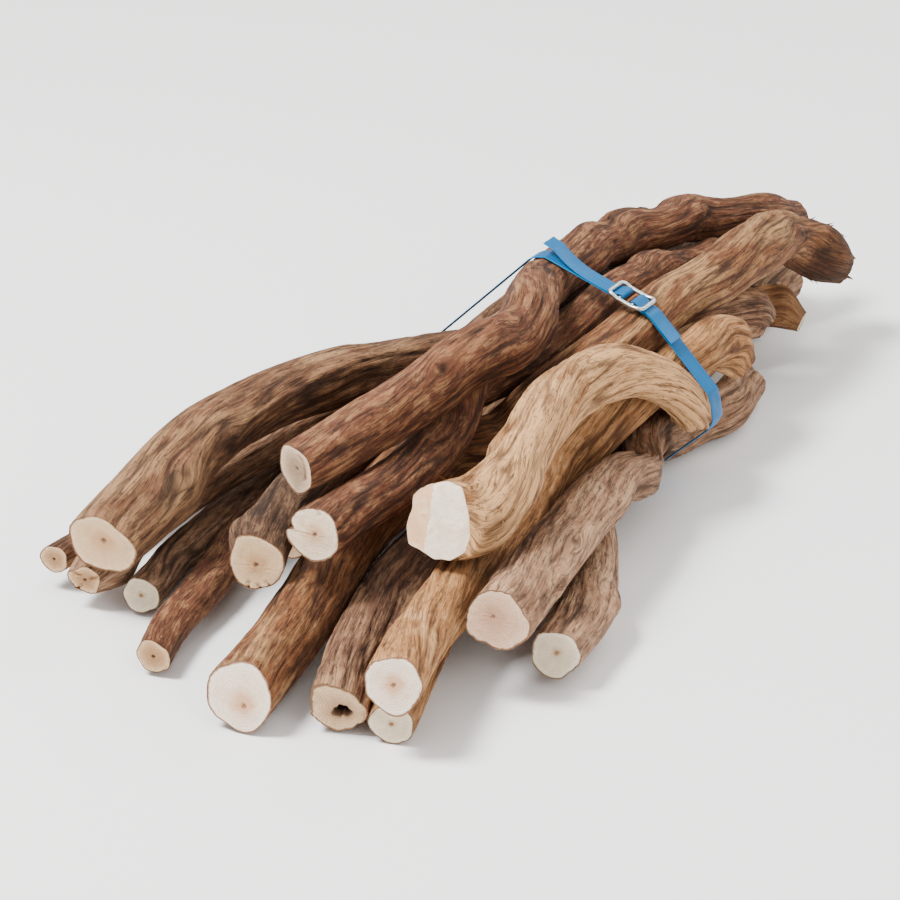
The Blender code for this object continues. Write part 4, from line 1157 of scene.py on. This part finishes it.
strap_mesh_points, strap_faces = tube(strap_points)
strap = piece_from("strap_skin", strap_mesh_points, strap_faces, [0] * len(strap_faces), [strap_plastic()])
flat_places = strap_places.reshape(-1, 3)
keep_values(strap, "strip", np.concatenate([flat_places, flat_places[:1], flat_places[-1:]]))
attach(strap, "root")
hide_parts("strap")
print("triangles in the strap:", triangles_in(strap))

# %% [markdown]
# ## The buckle
#
# The buckle is one length of galvanised wire, 3.2 mm thick, bent to a loop, with two bars across it
# that the strap turns round. Its solid has eight-sided wire. A curve with a round bevel gives the
# same wire without facets. The loop is drawn flat first, and then set down by the place and lean
# of the solid, which its own corners give: its long side is the direction in which they spread most.

# %% Find how the buckle lies
WIRE_RADIUS = 1.6 * MM
BAR_RADIUS = 0.94 * WIRE_RADIUS
BUCKLE_LENGTH = 29 * MM
BAR_SPACING = 11 * MM
LOOP_CORNER = 4 * MM
BAR_HEIGHT = 2.35 * MM
END_HEIGHT = 3.85 * MM
HALF_WIDTH = STRAP_WIDTH / 2 + WIRE_RADIUS + 1.8 * MM

wire_points = np.array([v.co[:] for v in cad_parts["wire_buckle"].data.vertices])
low, high = wire_points.min(axis=0), wire_points.max(axis=0)
around = (wire_points - wire_points.mean(axis=0)) * (1, 0, 1)
long_side = np.linalg.svd(around, full_matrices=False)[2][0]
long_side *= np.sign(long_side[0])
buckle_up = np.array((-long_side[2], 0.0, long_side[0]))
along_range = [(wire_points @ long_side).min(), (wire_points @ long_side).max()]
up_low = (wire_points @ buckle_up).min()
buckle_at = (long_side * sum(along_range) / 2 + buckle_up * (up_low - (BAR_HEIGHT - WIRE_RADIUS))
             + np.array((0.0, (low[1] + high[1]) / 2, 0.0)))
print("buckle at, m:", buckle_at.round(4), "length, mm:", round((along_range[1] - along_range[0]) / MM, 1))

# %% [markdown]
# Zinc from a hot bath is a metal with a dull, cloudy surface: light grey, metallic 1, roughness
# about 0.4, in soft patches where the crystals catch the light. A metal keeps the default IOR.

# %% Make the wire's finish
def galvanised_wire():
    finish, tree, shader = new_finish("hot_dip_galvanised_wire")
    place = add_node(tree, "ShaderNodeTexCoord").outputs["Object"]
    spangle = add_node(tree, "ShaderNodeTexVoronoi", {"Vector": place, "Scale": 520.0}).outputs["Color"]
    patch = add_node(tree, "ShaderNodeSeparateColor", {0: spangle}).outputs[0]
    grime = add_node(tree, "ShaderNodeTexNoise", {
        "Vector": place, "Scale": 260.0, "Detail": 4.0}).outputs["Fac"]
    paint(tree, shader, "#b9bfbd", (
        (patch, "#d6dad7", 0.0, 1.0, 1.0), (grime, "#7b7a72", 0.55, 0.75, 0.6)))
    rough = add_node(tree, "ShaderNodeMapRange", {
        "Value": grime, "From Min": 0.3, "From Max": 0.7, "To Min": 0.3, "To Max": 0.5})
    tree.links.new(rough.outputs[0], shader.inputs["Roughness"])
    stack_bumps(tree, shader, ((grime, 0.1, 0.6),))
    shader.inputs["Metallic"].default_value = 1.0
    return finish


# %% [markdown]
# The loop is a rounded rectangle. Its long sides rise towards its ends, because the wire passes
# under the folds of the strap at the bars and over the free ends outside them.

# %% Bend the wire
CAPS_ABOVE = math.radians(50)


def wire_height(along):
    """Height of the wire's middle over the strap's: low at the bars, high where it crosses the tails."""
    share = (abs(along) - BAR_SPACING / 2) / (BUCKLE_LENGTH / 2 - BAR_SPACING / 2)
    return BAR_HEIGHT + (END_HEIGHT - BAR_HEIGHT) * smooth_step(share, 0, 1)


def loop_points():
    """The middle of the wire round the loop, lying flat."""
    reach, points = BUCKLE_LENGTH / 2 - LOOP_CORNER, []
    for corner, (sx, sy) in enumerate(((1, 1), (-1, 1), (-1, -1), (1, -1))):
        for k in range(9):
            angle = math.radians(90 * corner + 90 * k / 8)
            points.append((sx * reach + LOOP_CORNER * math.cos(angle),
                           sy * (HALF_WIDTH - LOOP_CORNER) + LOOP_CORNER * math.sin(angle)))
        if corner in (0, 2):
            points += [(sx * reach * share, sy * HALF_WIDTH) for share in np.linspace(0.9, -0.9, 11)]
    return [(x, y, wire_height(x)) for x, y in points]


def set_down(points):
    return buckle_at + np.array(points) @ np.array((long_side, (0.0, 1.0, 0.0), buckle_up))


def wire_piece(name, paths):
    """One mesh of round wire along each path, given as (points, closed, radius)."""
    whole = bmesh.new()
    for points, closed, radius in paths:
        curve = bpy.data.curves.new(name, "CURVE")
        curve.dimensions, curve.bevel_depth, curve.bevel_resolution = "3D", radius, 4
        curve.use_fill_caps = True
        spline = curve.splines.new("POLY")
        spline.points.add(len(points) - 1)
        spline.points.foreach_set("co", np.column_stack([points, np.ones(len(points))]).ravel())
        spline.use_cyclic_u = closed
        holder = into_scene(name, curve)
        shape = holder.evaluated_get(bpy.context.evaluated_depsgraph_get())
        whole.from_mesh(shape.to_mesh())
        bpy.data.objects.remove(holder)
    bmesh.ops.remove_doubles(whole, verts=whole.verts, dist=1e-6)
    mesh = bpy.data.meshes.new(name)
    whole.to_mesh(mesh)
    whole.free()
    mesh.shade_smooth()
    mesh.set_sharp_from_angle(angle=CAPS_ABOVE)
    return into_scene(name, mesh)


bars = [(set_down([(side * BAR_SPACING / 2, y, BAR_HEIGHT) for y in (-HALF_WIDTH, HALF_WIDTH)]),
         False, BAR_RADIUS) for side in (-1, 1)]
buckle = wire_piece("wire_buckle_bent", [(set_down(loop_points()), True, WIRE_RADIUS), *bars])
buckle.data.materials.append(galvanised_wire())
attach(buckle, "root")
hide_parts("wire_buckle")
print("triangles in the buckle:", triangles_in(buckle))

# %% [markdown]
# ## Floor and light
#
# The floor is a plain pale sheet, large enough that its edge never shows. The light is soft, as
# under a bright sky: a broad key from the upper left in front, a weaker one from the right, one
# from behind, and an even fill from all round. The undersides stay dark, which is what shows that
# the stems lie apart.

# %% Lay the floor and hang the lights
FLOOR_HALF, FLOOR_DROP = 6, 0.2 * MM
floor_mesh = bpy.data.meshes.new("floor")
floor_corners = ((-1, -1), (1, -1), (1, 1), (-1, 1))
floor_mesh.from_pydata([(x * FLOOR_HALF, y * FLOOR_HALF, -FLOOR_DROP) for x, y in floor_corners],
                       [], [(0, 1, 2, 3)])
floor = into_scene("floor", floor_mesh)
floor_finish, floor_tree, floor_shader = new_finish("pale_floor")
mottle = add_node(floor_tree, "ShaderNodeTexNoise", {"Scale": 3.0, "Detail": 3.0}).outputs["Fac"]
paint(floor_tree, floor_shader, "#f6f5f3", ((mottle, "#faf9f8", 0.0, 1.0, 1.0),))
floor_shader.inputs["Roughness"].default_value = 0.9
floor_mesh.materials.append(floor_finish)

# Place in metres, width in metres and power in watts.
LIGHTS = {"key": ((-1.0, -1.2, 2.7), 0.9, 200), "side": ((2.4, -1.2, 1.6), 1.6, 32),
          "back": ((0.6, 2.2, 2.2), 1.6, 40)}
for title, (place, size, power) in LIGHTS.items():
    lamp = bpy.data.lights.new(title, "AREA")
    lamp.size, lamp.energy = size, power
    holder = into_scene(title, lamp)
    holder.location = place
    holder.rotation_euler = (Vector((0, 0, 0.08)) - Vector(place)).to_track_quat("-Z", "Y").to_euler()
world = bpy.data.worlds.new("sky")
world.use_nodes = True
world.node_tree.nodes["Background"].inputs["Color"].default_value = (1, 1, 1, 1)
world.node_tree.nodes["Background"].inputs["Strength"].default_value = 0.95
bpy.context.scene.world = world
print("lights:", ", ".join(LIGHTS))
